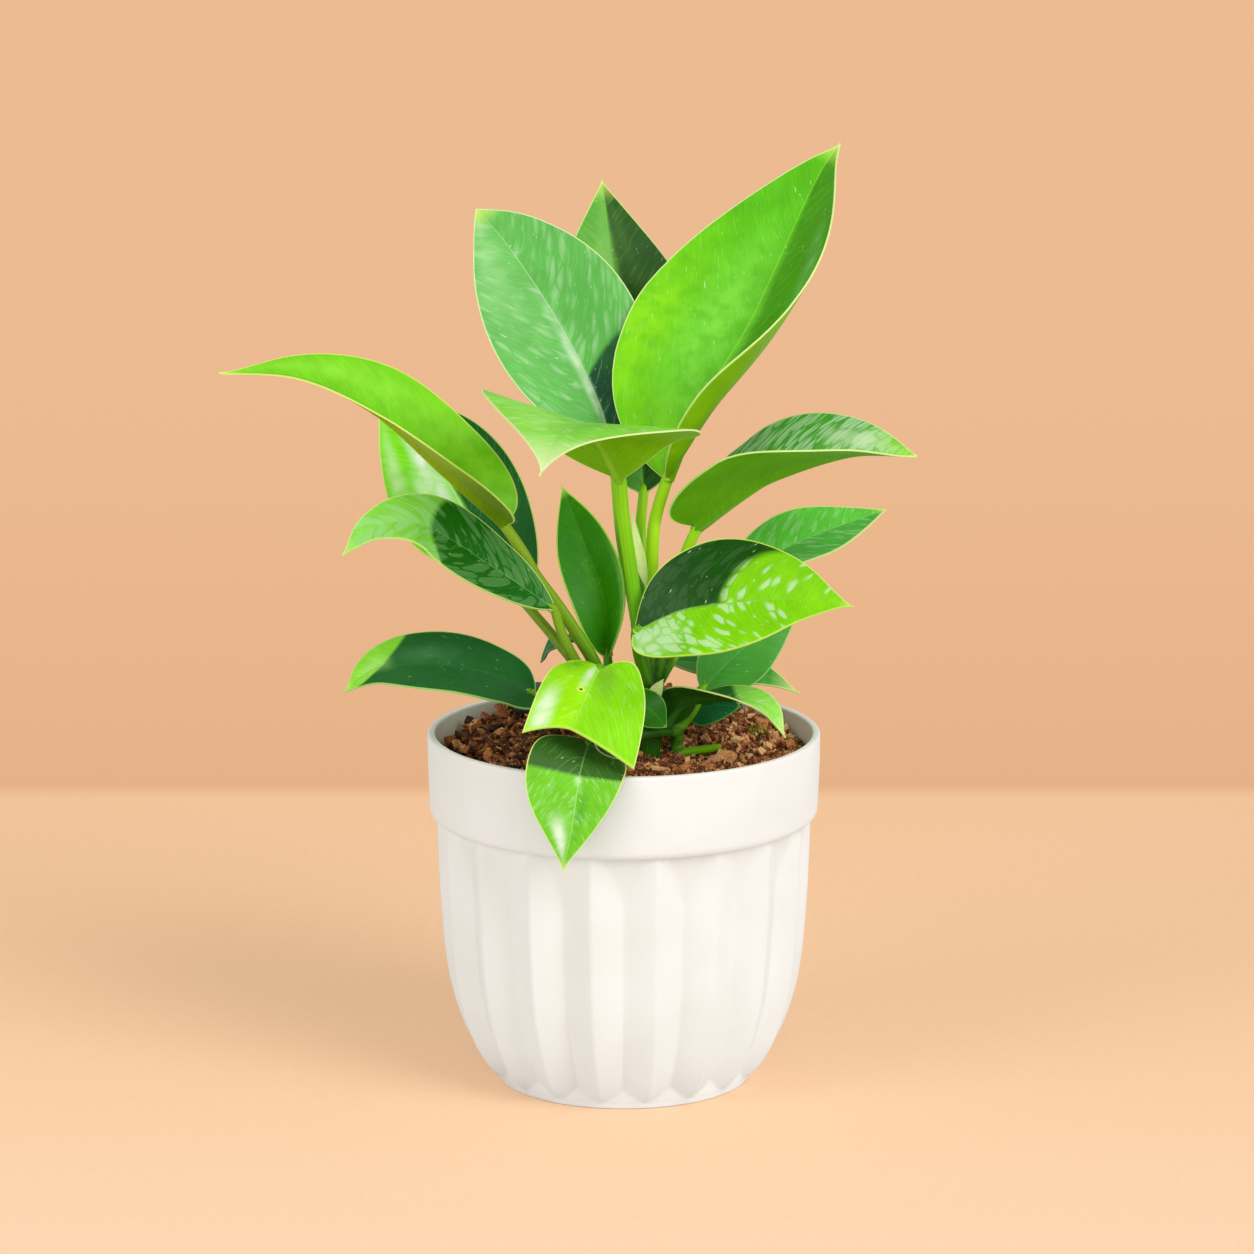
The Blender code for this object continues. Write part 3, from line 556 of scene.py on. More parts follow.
def leaf_skin(name, light, rib, painted_shade=None, patches=None, painted_light_and_tone=(), mark=None, flecks=0.5,
              veins=0.32, rib_wide=0.5, point="C9EE6A", point_from=0.93, edge="DDF08A", rough=0.4,
              gloss=0.3):
    """A leaf's waxy skin. Places across the blade run from -1 to 1, along it from 0 to 1.

    painted_shade is its darker part: painted shade, and painted shadows that other leaves
    cast on it: (colour, start, more along, more across, more across squared, half it keeps
    to or 0). patches are the silver between the veins: (colour, how full the skin is of them,
    spacing across and along the veins in mm, strength, softness, growth to the tip, strength
    in the painted shade). Each of painted_light_and_tone is a soft place of another colour,
    mostly a painted highlight of white gloss, some painted shade and some the leaf's own
    tone: (colour, place across, half width, place along, half length, strength). mark is a
    scar: (mm across, mm along, core radius, core colour, ring radius, ring width, ring colour).
    """
    made, tree, shader = finish(name, rough, ior=1.36)
    feed(shader, {"Specular IOR Level": gloss})
    along, side, margin = [node(tree, "Attribute", attribute_name=layer).outputs["Fac"]
                           for layer in ("along", "side", "margin")]
    flat, vein = [node(tree, "UVMap", uv_map=layer).outputs["UV"] for layer in ("blade", "veins")]

    # The green is uneven in clouds and in rows of cells that follow the veins
    cloud = node(tree, "TexNoise", {"Vector": flat, "Scale": 1 / CLOUD, "Detail": 2.0})
    cells = node(tree, "Mapping", {"Vector": vein, "Scale": (1 / CELL_ROW, 1 / CELL_RUN, 1.0)})
    rows = node(tree, "TexNoise", {"Vector": cells, "Scale": 1.0, "Detail": 3.0})
    bright = 1.0
    for pattern, least, most in ((cloud, 0.88, 1.08), (rows, 0.9, 1.1)):
        varied = node(tree, "MapRange", {"Value": pattern, "From Min": 0.3, "From Max": 0.7,
                                         "To Min": least, "To Max": most})
        bright = node(tree, "Math", {0: bright, 1: varied}, operation="MULTIPLY")
    tone = node(tree, "Mix", {0: 0.0, 6: linear(light), 7: linear(painted_shade[0] if painted_shade else light)},
                data_type="RGBA")
    # Painted shade: a darker green where other leaves cast their shadow or the blade turns from the
    # light
    if painted_shade:
        start, by_along, by_side, by_square, half = painted_shade[1:]
        level = node(tree, "Math", {0: along, 1: by_along, 2: start}, operation="MULTIPLY_ADD")
        slope = node(tree, "Math", {0: side, 1: by_square, 2: by_side}, operation="MULTIPLY_ADD")
        shade = node(tree, "Math", {0: side, 1: slope, 2: level}, operation="MULTIPLY_ADD",
                     use_clamp=True)
        kept = node(tree, "Math", {0: side, 1: half * 14.0, 2: 0.5 if half else 1.0},
                    operation="MULTIPLY_ADD", use_clamp=True)
        shade = node(tree, "Math", {0: shade, 1: kept}, operation="MULTIPLY")
        feed(tone, {0: shade})
    green = node(tree, "VectorMath", {0: tone.outputs[2], "Scale": bright}, operation="SCALE")

    # What lies on the green, as (share, colour), each over those before it
    coats = []
    smear = node(tree, "TexNoise", {"Vector": flat, "Scale": 1 / SMEAR, "Detail": 2.0})
    uneven = node(tree, "MapRange", {"Value": smear, "From Min": 0.35, "From Max": 0.6,
                                     "To Min": 0.5, "To Max": 1.0})
    # Painted highlights of white gloss, with some painted shade and some of the leaf's own tone, in
    # soft places
    for tint, across_at, across_by, along_at, along_by, strength in painted_light_and_tone:
        share = uneven
        for position, at, by, most in ((side, across_at, across_by, strength),
                                       (along, along_at, along_by, 1.0)):
            off = node(tree, "Math", {0: position, 1: at}, operation="SUBTRACT")
            off = node(tree, "Math", {0: off}, operation="ABSOLUTE")
            near = node(tree, "MapRange",
                        {"Value": off, "From Max": by, "To Min": most, "To Max": 0.0},
                        interpolation_type="SMOOTHSTEP")
            share = node(tree, "Math", {0: share, 1: near}, operation="MULTIPLY")
        coats.append((share, tint))
    # Side veins: hair lines that wander and fade
    wander = node(tree, "TexNoise", {"Vector": flat, "Scale": 1 / VEIN_WANDER, "Detail": 2.0})
    run = node(tree, "SeparateXYZ", {0: vein}).outputs["X"]
    strayed = node(tree, "Math", {0: wander, 1: VEIN_WANDER, 2: run}, operation="MULTIPLY_ADD")
    to_vein = node(tree, "Math", {0: strayed, 1: VEIN_SPACING / 2}, operation="PINGPONG")
    hair = node(tree, "MapRange", {"Value": to_vein, "From Max": VEIN_HALF, "To Min": 1.0,
                                   "To Max": 0.0})
    fade = node(tree, "MapRange", {"Value": cloud, "From Min": 0.42, "From Max": 0.6,
                                   "To Max": veins})
    share = node(tree, "Math", {0: hair, 1: fade}, operation="MULTIPLY")
    coats.append((share, rib))
    if patches:
        tint, full, wide, long, strength, soft, growth, in_painted_shade = patches
        drawn = node(tree, "Mapping", {"Vector": vein, "Scale": (1 / wide, 1 / long, 1.0)})
        sway = node(tree, "TexNoise", {"Vector": drawn, "Scale": 0.9, "Detail": 1.5})
        swayed = node(tree, "VectorMath", {0: sway.outputs["Color"], 1: (0.7, 0.7, 0.0), 2: drawn},
                      operation="MULTIPLY_ADD")
        gap = node(tree, "TexVoronoi", {"Vector": swayed, "Scale": 1.0}, voronoi_dimensions="2D",
                   feature="DISTANCE_TO_EDGE")
        cell = node(tree, "TexVoronoi", {"Vector": swayed, "Scale": 1.0}, voronoi_dimensions="2D")
        own = node(tree, "SeparateXYZ", {0: cell.outputs["Color"]}).outputs["X"]
        reach = node(tree, "Math", {0: own, 1: full, 2: 0.08}, operation="MULTIPLY_ADD")
        reach = node(tree, "Math", {0: along, 1: growth, 2: reach}, operation="MULTIPLY_ADD")
        room = node(tree, "Math", {0: reach, 1: cell}, operation="SUBTRACT")
        filled = node(tree, "MapRange", {"Value": room, "From Max": soft, "To Max": strength})
        apart = node(tree, "MapRange", {"Value": gap, "From Min": 0.01, "From Max": 0.1})
        share = node(tree, "Math", {0: filled, 1: apart}, operation="MULTIPLY")
        if painted_shade:
            lit = node(tree, "MapRange", {"Value": shade, "To Min": 1.0, "To Max": in_painted_shade})
            share = node(tree, "Math", {0: share, 1: lit}, operation="MULTIPLY")
        coats.append((share, tint))
    if flecks:
        grain = node(tree, "Mapping", {"Vector": vein,
                                       "Scale": (1 / FLECK_WIDE, 1 / FLECK_LONG, 1.0)})
        dust = node(tree, "TexNoise", {"Vector": grain, "Scale": 1.0, "Detail": 1.0})
        dot = node(tree, "MapRange", {"Value": dust, "From Min": 0.72, "From Max": 0.77,
                                      "To Max": flecks})
        coats.append((dot, "D6F2BC"))
    # The rib narrows towards the tip and is fainter in the painted shade
    across = node(tree, "SeparateXYZ", {0: flat}).outputs["X"]
    off_rib = node(tree, "Math", {0: across}, operation="ABSOLUTE")
    rib_half = node(tree, "MapRange", {"Value": along, "To Min": rib_wide, "To Max": 0.12})
    rib_near = node(tree, "Math", {0: off_rib, 1: rib_half}, operation="DIVIDE")
    share = node(tree, "MapRange", {"Value": rib_near, "From Min": 0.3, "From Max": 1.0,
                                    "To Min": 0.6, "To Max": 0.0})
    if painted_shade:
        faint = node(tree, "Math", {0: shade, 1: -0.5, 2: 1.0}, operation="MULTIPLY_ADD")
        share = node(tree, "Math", {0: share, 1: faint}, operation="MULTIPLY")
    coats.append((share, rib))
    if mark:
        across_at, along_at, core, core_tint, ring, ring_wide, ring_tint = mark
        to_mark = node(tree, "VectorMath", {0: flat, 1: (across_at, along_at, 0.0)},
                       operation="DISTANCE")
        for inner, outer, tint in ((-1.0, core, core_tint), (ring - ring_wide, ring, ring_tint)):
            half = (outer - inner) / 2
            off = node(tree, "Math", {0: to_mark.outputs["Value"], 1: inner + half},
                       operation="SUBTRACT")
            off = node(tree, "Math", {0: off}, operation="ABSOLUTE")
            band = node(tree, "MapRange", {"Value": off, "From Min": half - 0.15,
                                           "From Max": half + 0.1, "To Min": 0.9, "To Max": 0.0})
            coats.append((band, tint))
    end = node(tree, "MapRange", {"Value": along, "From Min": point_from, "From Max": 1.0,
                                  "To Max": 0.9})
    coats.append((end, point))
    band = node(tree, "MapRange", {"Value": margin, "From Min": EDGE_WIDE, "From Max": EDGE_FADES,
                                   "To Min": 0.95, "To Max": 0.0})
    coats.append((band, edge))
    colour = green
    for share, tint in coats:
        colour = node(tree, "Mix", {0: share, 6: colour, 7: linear(tint)},
                      data_type="RGBA").outputs[2]

    dull = node(tree, "MapRange", {"Value": cloud, "From Min": 0.3, "From Max": 0.7,
                                   "To Min": rough - 0.05, "To Max": rough + 0.07})
    height = node(tree, "Math", {0: hair, 1: -0.5, 2: cloud}, operation="MULTIPLY_ADD")
    relief = node(tree, "Bump", {"Strength": 0.3, "Distance": 0.25 * MM, "Height": height})
    feed(shader, {"Base Color": colour, "Roughness": dull, "Normal": relief})
    return made


def leaf(name, shoot, midrib, width, looks, fold, stem, skins, **shape):
    """A blade and its stalk, which starts as the rib under the blade and runs down, through
    the points of stem (radius, points), into its shoot."""
    blade(name, midrib, width, looks, fold, skins, **shape)
    radius, through = stem
    base, second = Vector(midrib[0]), Vector(midrib[1])
    along = (second - base).normalized()
    under = facing(*looks[0]) * -1.0
    under = (under - along * under.dot(along)).normalized()
    points = [base + along * radius * 2.4 + under * radius * 0.3,
              base + along * radius * 1.2 + under * radius * 0.3, base + under * radius * 0.25]
    stalk_runs[shoot].append((points + [Vector(point) for point in through], radius))


# Undersides: duller than the upper skin and olive, yellower on the young leaves, and painted
# brighter than a real underside, as painted light standing in for light shining through the blade.
under_olive, under_green = [
    leaf_skin("Leaf underside, " + shade, light, rib,
              flecks=0.0, rib_wide=0.6, rough=0.5, gloss=0.25)
    for shade, light, rib in (("olive", "86BE06", "A9C93F"), ("green", "64AC04", "8CC040"))]

# Painted shade darkens its right half, and the lighter places on it are mostly painted highlights.
leaf("leaf_top_right", "main",
     [(15, 2, 218), (27, 8, 244), (45, 18, 272), (67, 34, 317), (77, 40, 332)],
     80, ((-33, 20), (-33, 20)), (20, 15, 10), (2.7, [(11, 1, 203), (10, 1, 189), (9.5, 1, 165)]), [
         leaf_skin("Young leaf skin, bright green", "5CC20C", "A0E84A",
                   painted_shade=("489A08", -0.2, 0.0, 12.0, 0.0, 0),
                   patches=("9ADF6A", 0.3, 2.0, 6.0, 0.35, 0.2, -0.2, 1.0),
                   painted_light_and_tone=[("92F04C", -0.25, 0.5, 0.4, 0.45, 0.75),
                           ("94E612", -0.85, 0.5, 0.3, 0.5, 0.9),
                           ("98EA16", -0.3, 0.6, 0.05, 0.25, 0.8),
                           ("9ADC8C", 0.7, 0.3, 0.6, 0.25, 0.35)],
                   flecks=0.7, rib_wide=0.6, edge="DDF29A"),
         under_olive], cup=(10, 108), widest=0.38, base=(0.62, 0.75), tip=1.25, rib=3.0, lean=1.1)

# A teal painted shadow of the top right leaf lies on the lower right of its blade, and a white glow
# along its rib is a painted highlight.
leaf("leaf_top_left", "main",
     [(-3, 15, 216), (-8, 20, 239), (-22, 30, 267), (-40, 42, 293), (-53, 51, 307)],
     55, ((5, 20), (5, 20)), (25, 16, 8), (2.2, [(-1, 13, 194), (3, 7, 173)]), [
         leaf_skin("Leaf skin, grey-green with silver", "66BC54", "C2E4B4",
                   painted_shade=("0C4C30", 20.3, -60.0, 11.4, -6.0, 1),
                   patches=("BCE4B0", 0.8, 4.2, 6.0, 0.46, 0.7, -0.12, 0.1), flecks=0.7,
                   painted_light_and_tone=[("AEE29C", -0.6, 0.7, 0.95, 0.6, 0.5),
                           ("DCF2D2", -0.05, 0.11, 0.3, 0.45, 0.85),
                           ("52A844", 0.5, 0.5, 0.55, 0.4, 0.5)],
                   rib_wide=0.6, edge="E2F2B4"),
         under_green], widest=0.48, base=0.95, tip=0.95)

# Its right half is darkened with painted shadow of the leaves in front of it.
leaf("leaf_top_back", "main", [(7, 22, 209), (4, 38, 240), (-4, 64, 285), (-8, 76, 314)],
     56, ((0, 20), (0, 20)), (25, 20, 15), (2.3, [(6, 18, 194), (8, 10, 172)]), [
         leaf_skin("Leaf skin, mid green", "5CB030", "8CD060",
                   painted_shade=("2A5C1A", 0.0, 0.0, 9.0, 0.0, 0),
                   patches=("7CBE60", 0.7, 4.0, 9.0, 0.4, 0.4, -0.2, 0.3), flecks=0.6,
                   painted_light_and_tone=[("9AD86A", -0.15, 0.4, 0.7, 0.3, 0.8),
                           ("4C7C34", 0.35, 0.3, 0.75, 0.35, 0.6)]),
         under_green], widest=0.42, base=0.6)

# ---------------------------------------------------------------------------
# The leaf that reaches over the front at mid height, the highest leaf at the
# right and the long arching leaf at the left. Their edges turn down, so each
# shows its bright upper skin above and its duller underside below.

leaf("leaf_front_high", "main",
     [(-1, -10, 220), (-8, -22, 236), (-14, -48, 247), (-23, -84, 248), (-28, -108, 240)],
     78, ((160, 30), (-3, 60)), (8, 7, 6),
     (2.8, [(0, -10, 206), (2, -9, 191), (4, -8, 176), (6, -5, 158)]), [
         leaf_skin("Young leaf skin, white-green", "86DC3A", "A4DE5A",
                   patches=("D8F2C0", 0.8, 4.0, 7.0, 0.3, 0.5, -0.1, 1.0), flecks=0.3, rib_wide=0.4,
                   painted_light_and_tone=[("A4E868", 0.45, 0.6, 0.5, 0.5, 0.7),
                           ("58B030", -0.1, 0.5, 0.55, 0.2, 0.5)],
                   point="EAF6BE", point_from=0.76, edge="E6F4A8"),
         under_olive], widest=0.36, base=0.95, tip=1.9, rib=3.0)

# A white place near its tip is a painted highlight.
leaf("leaf_right_high", "main",
     [(26, 2, 201), (42, 0, 213), (54, -2, 220), (80, -5, 228), (103, -8, 228)],
     54, ((180, 78), (0, 70)), (36, 30, 24), (2.5, [(22, 2, 191), (17, 2, 174), (13, 2, 154)]), [
         leaf_skin("Leaf skin, dark green streaked with silver", "48A828", "9FD890",
                   patches=("C4E8BA", 0.85, 2.6, 5.5, 0.62, 0.35, 0.2, 1.0), rib_wide=0.6,
                   painted_light_and_tone=[("E8F8CC", -0.4, 0.5, 0.78, 0.22, 0.7)], point="9EE43C", point_from=0.78,
                   edge="D8F094"),
         under_green], widest=0.38, tip=1.1, lobes=(9, 9), rib=2.8)

# Painted highlights lighten it, at its base against the real shade of the leaf above, and its
# underside darkens towards the base with painted shade.
leaf("leaf_left_long", "left",
     [(-42, -12, 205), (-62, -18, 224), (-86, -24, 246.6), (-112, -28, 259.5), (-140, -30, 261.3)],
     46, ((55, 55), (0, 80)), (50, 24, 16),
     (2.5, [(-36, -12, 195), (-31, -12, 186), (-24, -11, 176), (-17, -10, 165), (-9, -8, 150)]), [
         leaf_skin("Young leaf skin, lime green", "76D212", "A4E84A", flecks=0.3, veins=0.15,
                   painted_light_and_tone=[("98E83C", 0.5, 0.5, 0.6, 0.6, 0.6),
                           ("A6F434", 0.3, 1.4, 0.1, 0.4, 0.9)],
                   rib_wide=0.4, edge="DAEE70"),
         leaf_skin("Leaf underside, olive yellow", "9AB404", "B5BD3A",
                   painted_shade=("6C9400", 1.2, -4.0, 0.0, 0.0, 0),
                   flecks=0.0, rib_wide=0.6, rough=0.5, gloss=0.15)],
     widest=0.41, base=0.55, tip=1.4, lobes=(5, 5), rib=2.6)

# ---------------------------------------------------------------------------
# The spreading leaves at the right, older and darker than the top ones, partly with
# painted shade, with silver blotches along their veins, and the small ones under them.

# One half is a little darker with painted shade.
leaf("leaf_right_back", "main", [(40, 14, 180), (63, 28, 190), (95, 46, 198)],
     27, ((-15, 55), (-10, 50)), (15, 12, 10), (2.0, [(29, 9, 168), (18, 5, 153)]), [
         leaf_skin("Leaf skin, fresh green", "60CC3C", "8EDB70",
                   painted_shade=("50B43A", 0.2, 0.0, 6.0, 0.0, 0),
                   patches=("A4E292", 0.7, 2.6, 5.0, 0.4, 0.3, -0.1, 1.0), edge="D8F094"),
         under_green], widest=0.4, base=0.6, tip=1.2)

# A painted shadow of the leaf above darkens its upper half, and a white place by its base is a
# painted gloss highlight.
leaf("leaf_right_broad", "main",
     [(4, -17, 167), (23, -22, 176), (54, -29, 181), (71, -34, 181), (80, -37, 180)],
     46, ((0, 42), (0, 42)), (12, 10, 8), (2.2, [(5, -13, 158), (8, -7, 146)]), [
         leaf_skin("Mature leaf skin, lime with silver, half in painted shadow", "84D60C", "8FD04A",
                   painted_shade=("124C04", 7.9, -18.0, -0.9, 4.0, -1),
                   patches=("D6F2C8", 1.2, 3.2, 5.2, 0.6, 0.3, -0.95, 0.05), flecks=0.7, veins=0.1,
                   painted_light_and_tone=[("E8F6DE", 0.6, 0.6, 0.1, 0.2, 0.5),
                           ("8CE40C", 0.0, 1.2, 0.95, 0.3, 0.8)],
                   edge="D4F06A"),
         under_green], widest=0.42, base=0.8, tip=1.5, lobes=(0, 10), lopsided=0.12, lean=0.3)

# Its green is painted darker than its own, as painted shade of the broad leaf above it.
leaf("leaf_right_shaded", "right", [(28, 8, 140), (43, 14, 154), (62, 22, 164)],
     25, ((20, 25), (20, 25)), (15, 12, 10), (1.9, [(25, 6, 133)]), [
         leaf_skin("Leaf skin, blue-green darkened as painted shade", "52AC3A", "5CB85C",
                   patches=("5CAE60", 0.7, 3.0, 6.0, 0.3, 0.4, 0.0, 1.0),
                   rib_wide=0.6, edge="A4D878"),
         under_green], widest=0.4, base=0.6)

leaf("leaf_right_drooping", "right", [(16, 20, 148), (35, 30, 144), (51, 36, 139), (64, 40, 131)],
     18, ((0, 60), (10, 50)), (5, 2, 0), (1.6, [(13, 15, 141), (17, 7, 131)]), [
         leaf_skin("Old leaf skin, green", "3C9A2E", "6DC446", point="D6EE9A", point_from=0.75),
         under_green], tip=1.5)

# A painted shadow of the broad leaf above covers all but its lime end.
leaf("leaf_right_small", "right",
     [(15, -4, 130), (22, -8, 139), (39, -14, 142), (51, -18, 139), (57, -20, 129)],
     20, ((150, 50), (10, 50)), (25, 18, 10), (1.7, [(16, -2, 127)]), [
         leaf_skin("Leaf skin, lime with a painted shadow over its base", "98E850", "8FD86A",
                   painted_shade=("22681E", 14.7, -25.0, 2.0, 0.0, 0),
                   patches=("D8F6C4", 0.7, 2.5, 4.0, 0.25, 0.4, 0.0, 0.1),
                   point="D4F29A", point_from=0.85),
         leaf_skin("Leaf underside, dark green", "2A6A14", "4C9030", flecks=0.0, rough=0.5,
                   gloss=0.25, edge="5C9A34")], widest=0.4, tip=1.4)

leaf("leaf_soil_right", "right", [(22, 14, 131), (32, 13, 133), (42, 11, 133)],
     16, ((0, 40), (0, 40)), (5, 2, 0), (1.4, [(18, 8, 129)]), [
         leaf_skin("Shade leaf skin, teal", "1B6A34", "2F8C48", flecks=0.3, edge="5CB05A"),
         under_green])

# ---------------------------------------------------------------------------
# The spreading leaves at the left and the upright one in the middle. One is lime with
# its other half blue-green in painted shadow, and two lie in painted shadow from a lime tip back to
# their base.

# Its right half lies in painted shadow of the long leaf above, and the white streaks by its rib are
# painted gloss highlights.
leaf("leaf_left_back", "left", [(-35, 18, 169), (-52, 26, 193), (-67, 32, 217), (-87, 38, 242)],
     48, ((0, 20), (-5, 20)), (15, 12, 10), (2.2, [(-25, 13, 158), (-12, 4, 143)]), [
         leaf_skin("Leaf skin, lime with painted gloss, half in painted shadow", "82E818", "D6F5B8",
                   painted_shade=("1C6424", 0.0, 0.0, 14.0, 0.0, 0), flecks=0.2, veins=0.1, rib_wide=1.0,
                   painted_light_and_tone=[("F4FCEC", -0.18, 0.24, 0.66, 0.38, 0.95),
                           ("DFF8C4", -0.75, 0.25, 0.7, 0.3, 0.6),
                           ("F4FCEC", -0.4, 0.2, 0.55, 0.2, 0.6)]),
         under_green], widest=0.5, base=(2.0, 0.7), tip=1.0)

# A painted shadow of the long leaf above covers its base half.
leaf("leaf_left_middle", "left",
     [(-24, -18, 175), (-43, -26, 190), (-69, -38, 209), (-86, -46, 210), (-97, -50, 201)],
     30, ((0, 50), (-10, 55)), (8, 6, 5),
     (2.2, [(-22, -18, 167), (-18, -17, 158), (-10, -12, 143)]), [
         leaf_skin("Mature leaf skin, green with silver, base in painted shadow", "88DC48", "9AD88A",
                   painted_shade=("1B6E10", 25.0, -40.0, 0.0, -2.0, 0),
                   patches=("A4E094", 1.05, 5.0, 8.5, 0.5, 0.12, -0.2, 0.4), rib_wide=0.4,
                   painted_light_and_tone=[("98DE70", 0.0, 1.0, 0.9, 0.3, 0.6)], edge="D0F084"),
         under_green], widest=0.5, base=0.85, tip=1.2)

# A painted shadow of the leaf above covers all but its lime end, and two paler places on it are
# painted sheen.
leaf("leaf_left_low", "left",
     [(-32, -14, 144), (-43, -16, 150), (-64, -22, 156), (-86, -28, 156), (-98, -30, 148)],
     33, ((0, 60), (-5, 60)), (5, 5, 5), (2.0, [(-24, -14, 140), (-12, -10, 134)]), [
         leaf_skin("Mature leaf skin, lime, in painted shadow but for its end", "8CDC38", "3C8A46",
                   painted_shade=("1F6428", 32.1, -40.0, -6.6, 0.0, 0), flecks=0.3, veins=0.1,
                   painted_light_and_tone=[("B4EC84", 0.2, 0.6, 0.82, 0.12, 0.6),
                           ("5C9C68", 0.3, 0.5, 0.55, 0.3, 0.35)],
                   edge="A8DC74"),
         under_green], widest=0.45, base=0.6, lobes=(9, 3))

leaf("leaf_middle", "left", [(-6, 0, 154), (-7, 2, 174), (-14, 5, 194), (-22, 8, 214)],
     25, ((-20, 15), (-10, 15)), (50, 30, 10), (2.0, [(-5, -2, 146)]), [
         leaf_skin("Leaf skin, deep green", "348C01", "5CB02A", flecks=0.3,
                   painted_light_and_tone=[("56A818", -0.15, 0.3, 0.5, 0.4, 0.6),
                           ("6CB050", 0.92, 0.22, 0.35, 0.5, 1.0)],
                   edge="B4EA4A"),
         under_green], widest=0.45, base=0.6)

leaf("leaf_small_back", "left", [(-18, 20, 156), (-26, 26, 153), (-30, 30, 145)],
     7, ((0, 60), (-60, 30)), (0, 0, 0), (1.3, [(-12, 12, 151), (-7, 2, 141)]), [
         leaf_skin("Small leaf skin, blue-green", "246A32", "3F8E52",
                   flecks=0.0, rib_wide=0.9, edge="5FA85A"),
         under_green], tip=1.0, rib=1.2)

# ---------------------------------------------------------------------------
# The two leaves that hang over the front of the pot and the small one between
# them and the stems. The upper one is young and lime with painted white gloss highlights, notched
# at its end; the lower one is pale at its tip, dried along its top edge, and its top lies in
# painted shadow of the upper one.

# Its white places are painted gloss highlights; one half is a little darker with painted shade, and
# two darker green places are painted shade.
leaf("leaf_front_centre", "left", [(-8, -33, 158), (-12, -52, 154), (-18, -70, 144)],
     40, ((0, 30), (0, 10)), (0, 0, 0), (1.9, [(-6, -27, 151), (-5, -15, 141)]), [
         leaf_skin("Young leaf skin, glossy lime", "A0EC12", "C8F07A",
                   painted_shade=("8CE012", 0.5, 0.0, -6.0, 0.0, 0),
                   patches=("F2FBE2", 0.35, 3.0, 4.0, 0.16, 0.4, -0.1, 1.0), flecks=0.3,
                   painted_light_and_tone=[("FAFDF0", 0.72, 0.3, 0.85, 0.4, 0.95),
                           ("F4FBE4", 0.16, 0.16, 0.25, 0.35, 0.95),
                           ("7CB430", -0.25, 0.35, 0.25, 0.5, 0.75),
                           ("58B004", 0.7, 0.35, 0.1, 0.25, 0.7)],
                   mark=(2.6, 21.5, 0.55, "141A06", 1.5, 0.7, "E6EE5A"), point="CDF05A",
                   point_from=0.97, edge="EAF490", rough=0.3),
         under_olive], cup=(10, -20), widest=1.0, base=0.3, lobes=(10, 4), spurs=(5, 11),
         lopsided=0.25)

# Its top lies in painted shadow of the leaf above it, and a pale line at the edge of that shadow is
# a painted highlight on a crease.
leaf("leaf_over_rim", "right", [(-12, -54, 136), (-15, -71, 129), (-18, -77, 110), (-21, -77, 95)],
     34, ((0, 20), (0, 5)), (8, 6, 5), (1.9, [(-7, -44, 133), (1, -28, 131), (10, -13, 129)]), [
         leaf_skin("Leaf skin, fresh green with a pale tip", "76CE26", "B4E890",
                   painted_shade=("386820", 15.3, -40.0, 0.0, 0.0, 0),
                   patches=("C4F0AC", 0.7, 2.6, 2.8, 0.22, 0.4, -0.1, 0.1), flecks=0.8,
                   painted_light_and_tone=[("F6FBEA", 0.4, 0.4, 0.78, 0.22, 0.9),
                           ("3C9A28", -0.2, 0.3, 0.6, 0.3, 0.6),
                           ("D4EEBC", 0.0, 0.12, 0.4, 0.05, 0.9)],
                   mark=(-10.5, 0.0, 0.1, "2C5C2C", 8.6, 0.8, "D8E0A8"), point="D8EC6A",
                   point_from=0.9, edge="D8F084"),
         under_green], widest=0.32, tip=1.5, lopsided=-0.3)

leaf("leaf_small_inner", "left", [(-1, -22, 142), (8, -20, 140), (15, -16, 132)],
     15, ((0, 50), (0, 30)), (0, 0, 0), (1.5, [(-2, -17, 138)]), [
         leaf_skin("Small leaf skin, dark green", "2C7C10", "4FA83A", flecks=0.2, edge="7CCB4A"),
         under_green], tip=1.0, rib=1.4)

# ---------------------------------------------------------------------------
# The two papery sheaths that the stalks grew out of: thin, pale yellow-green
# tongues still wrapped against the front stalk.

# Their pale colour is painted lighter than a real sheath, as painted light where they stand in the
# stalks' shade.
sheath_skin = leaf_skin("Young sheath, pale and papery", "F0FFA8", "F4FFC0",
                        flecks=0.0, rib_wide=0.4, edge="E4EEA8", rough=0.55)
SHEATHS = (("sheath_high", [(8, -4.5, 180), (5, -4.2, 194), (3, -4, 207)], 3.8, (0, 0)),
           ("sheath_low", [(10, -11, 138), (11, -11, 143), (14, -10, 148)], 5, (0, 30)))
for name, midrib, width, look in SHEATHS:
    blade(name, midrib, width, (look, look), (0, 0, 0), [sheath_skin, sheath_skin],
          widest=0.4, base=0.8, wave=0.2, rib=0.6, slot="sheath_pale", thick=0.5)

# ---------------------------------------------------------------------------
# The shoots. Each is a short stem that the stalks of its leaves clasp and grow
# into, so every shoot is one fused piece: fleshy, smooth and faintly ribbed
# lengthwise. One stalk has lost its leaf and lies dried on the soil.

# Each stem as (place, radius, top); STEM_FOOT is in the soil
SHOOTS = {"main": ((9, 1), 5.2, 140.0), "left": ((-4, -5), 4.4, 131.0),
          "right": ((19, 0), 2.8, 129.0)}
STEM_FOOT, STEM_STEPS, STALK_BY_BLADE = 104.0, 6, 16
FUSE_GRAIN = 0.55            # clefts narrower than this close up
DRIED_STALK = [(20, -1, 118.5), (24, -3, 120), (29, -4.5, 121), (35, -6, 122.6)]
DRIED_RADII = [2.0, 1.9, 1.8, 1.7, 1.6, 1.6, 1.5, 1.5, 1.5, 1.5, 1.4, 1.3, 0.7]

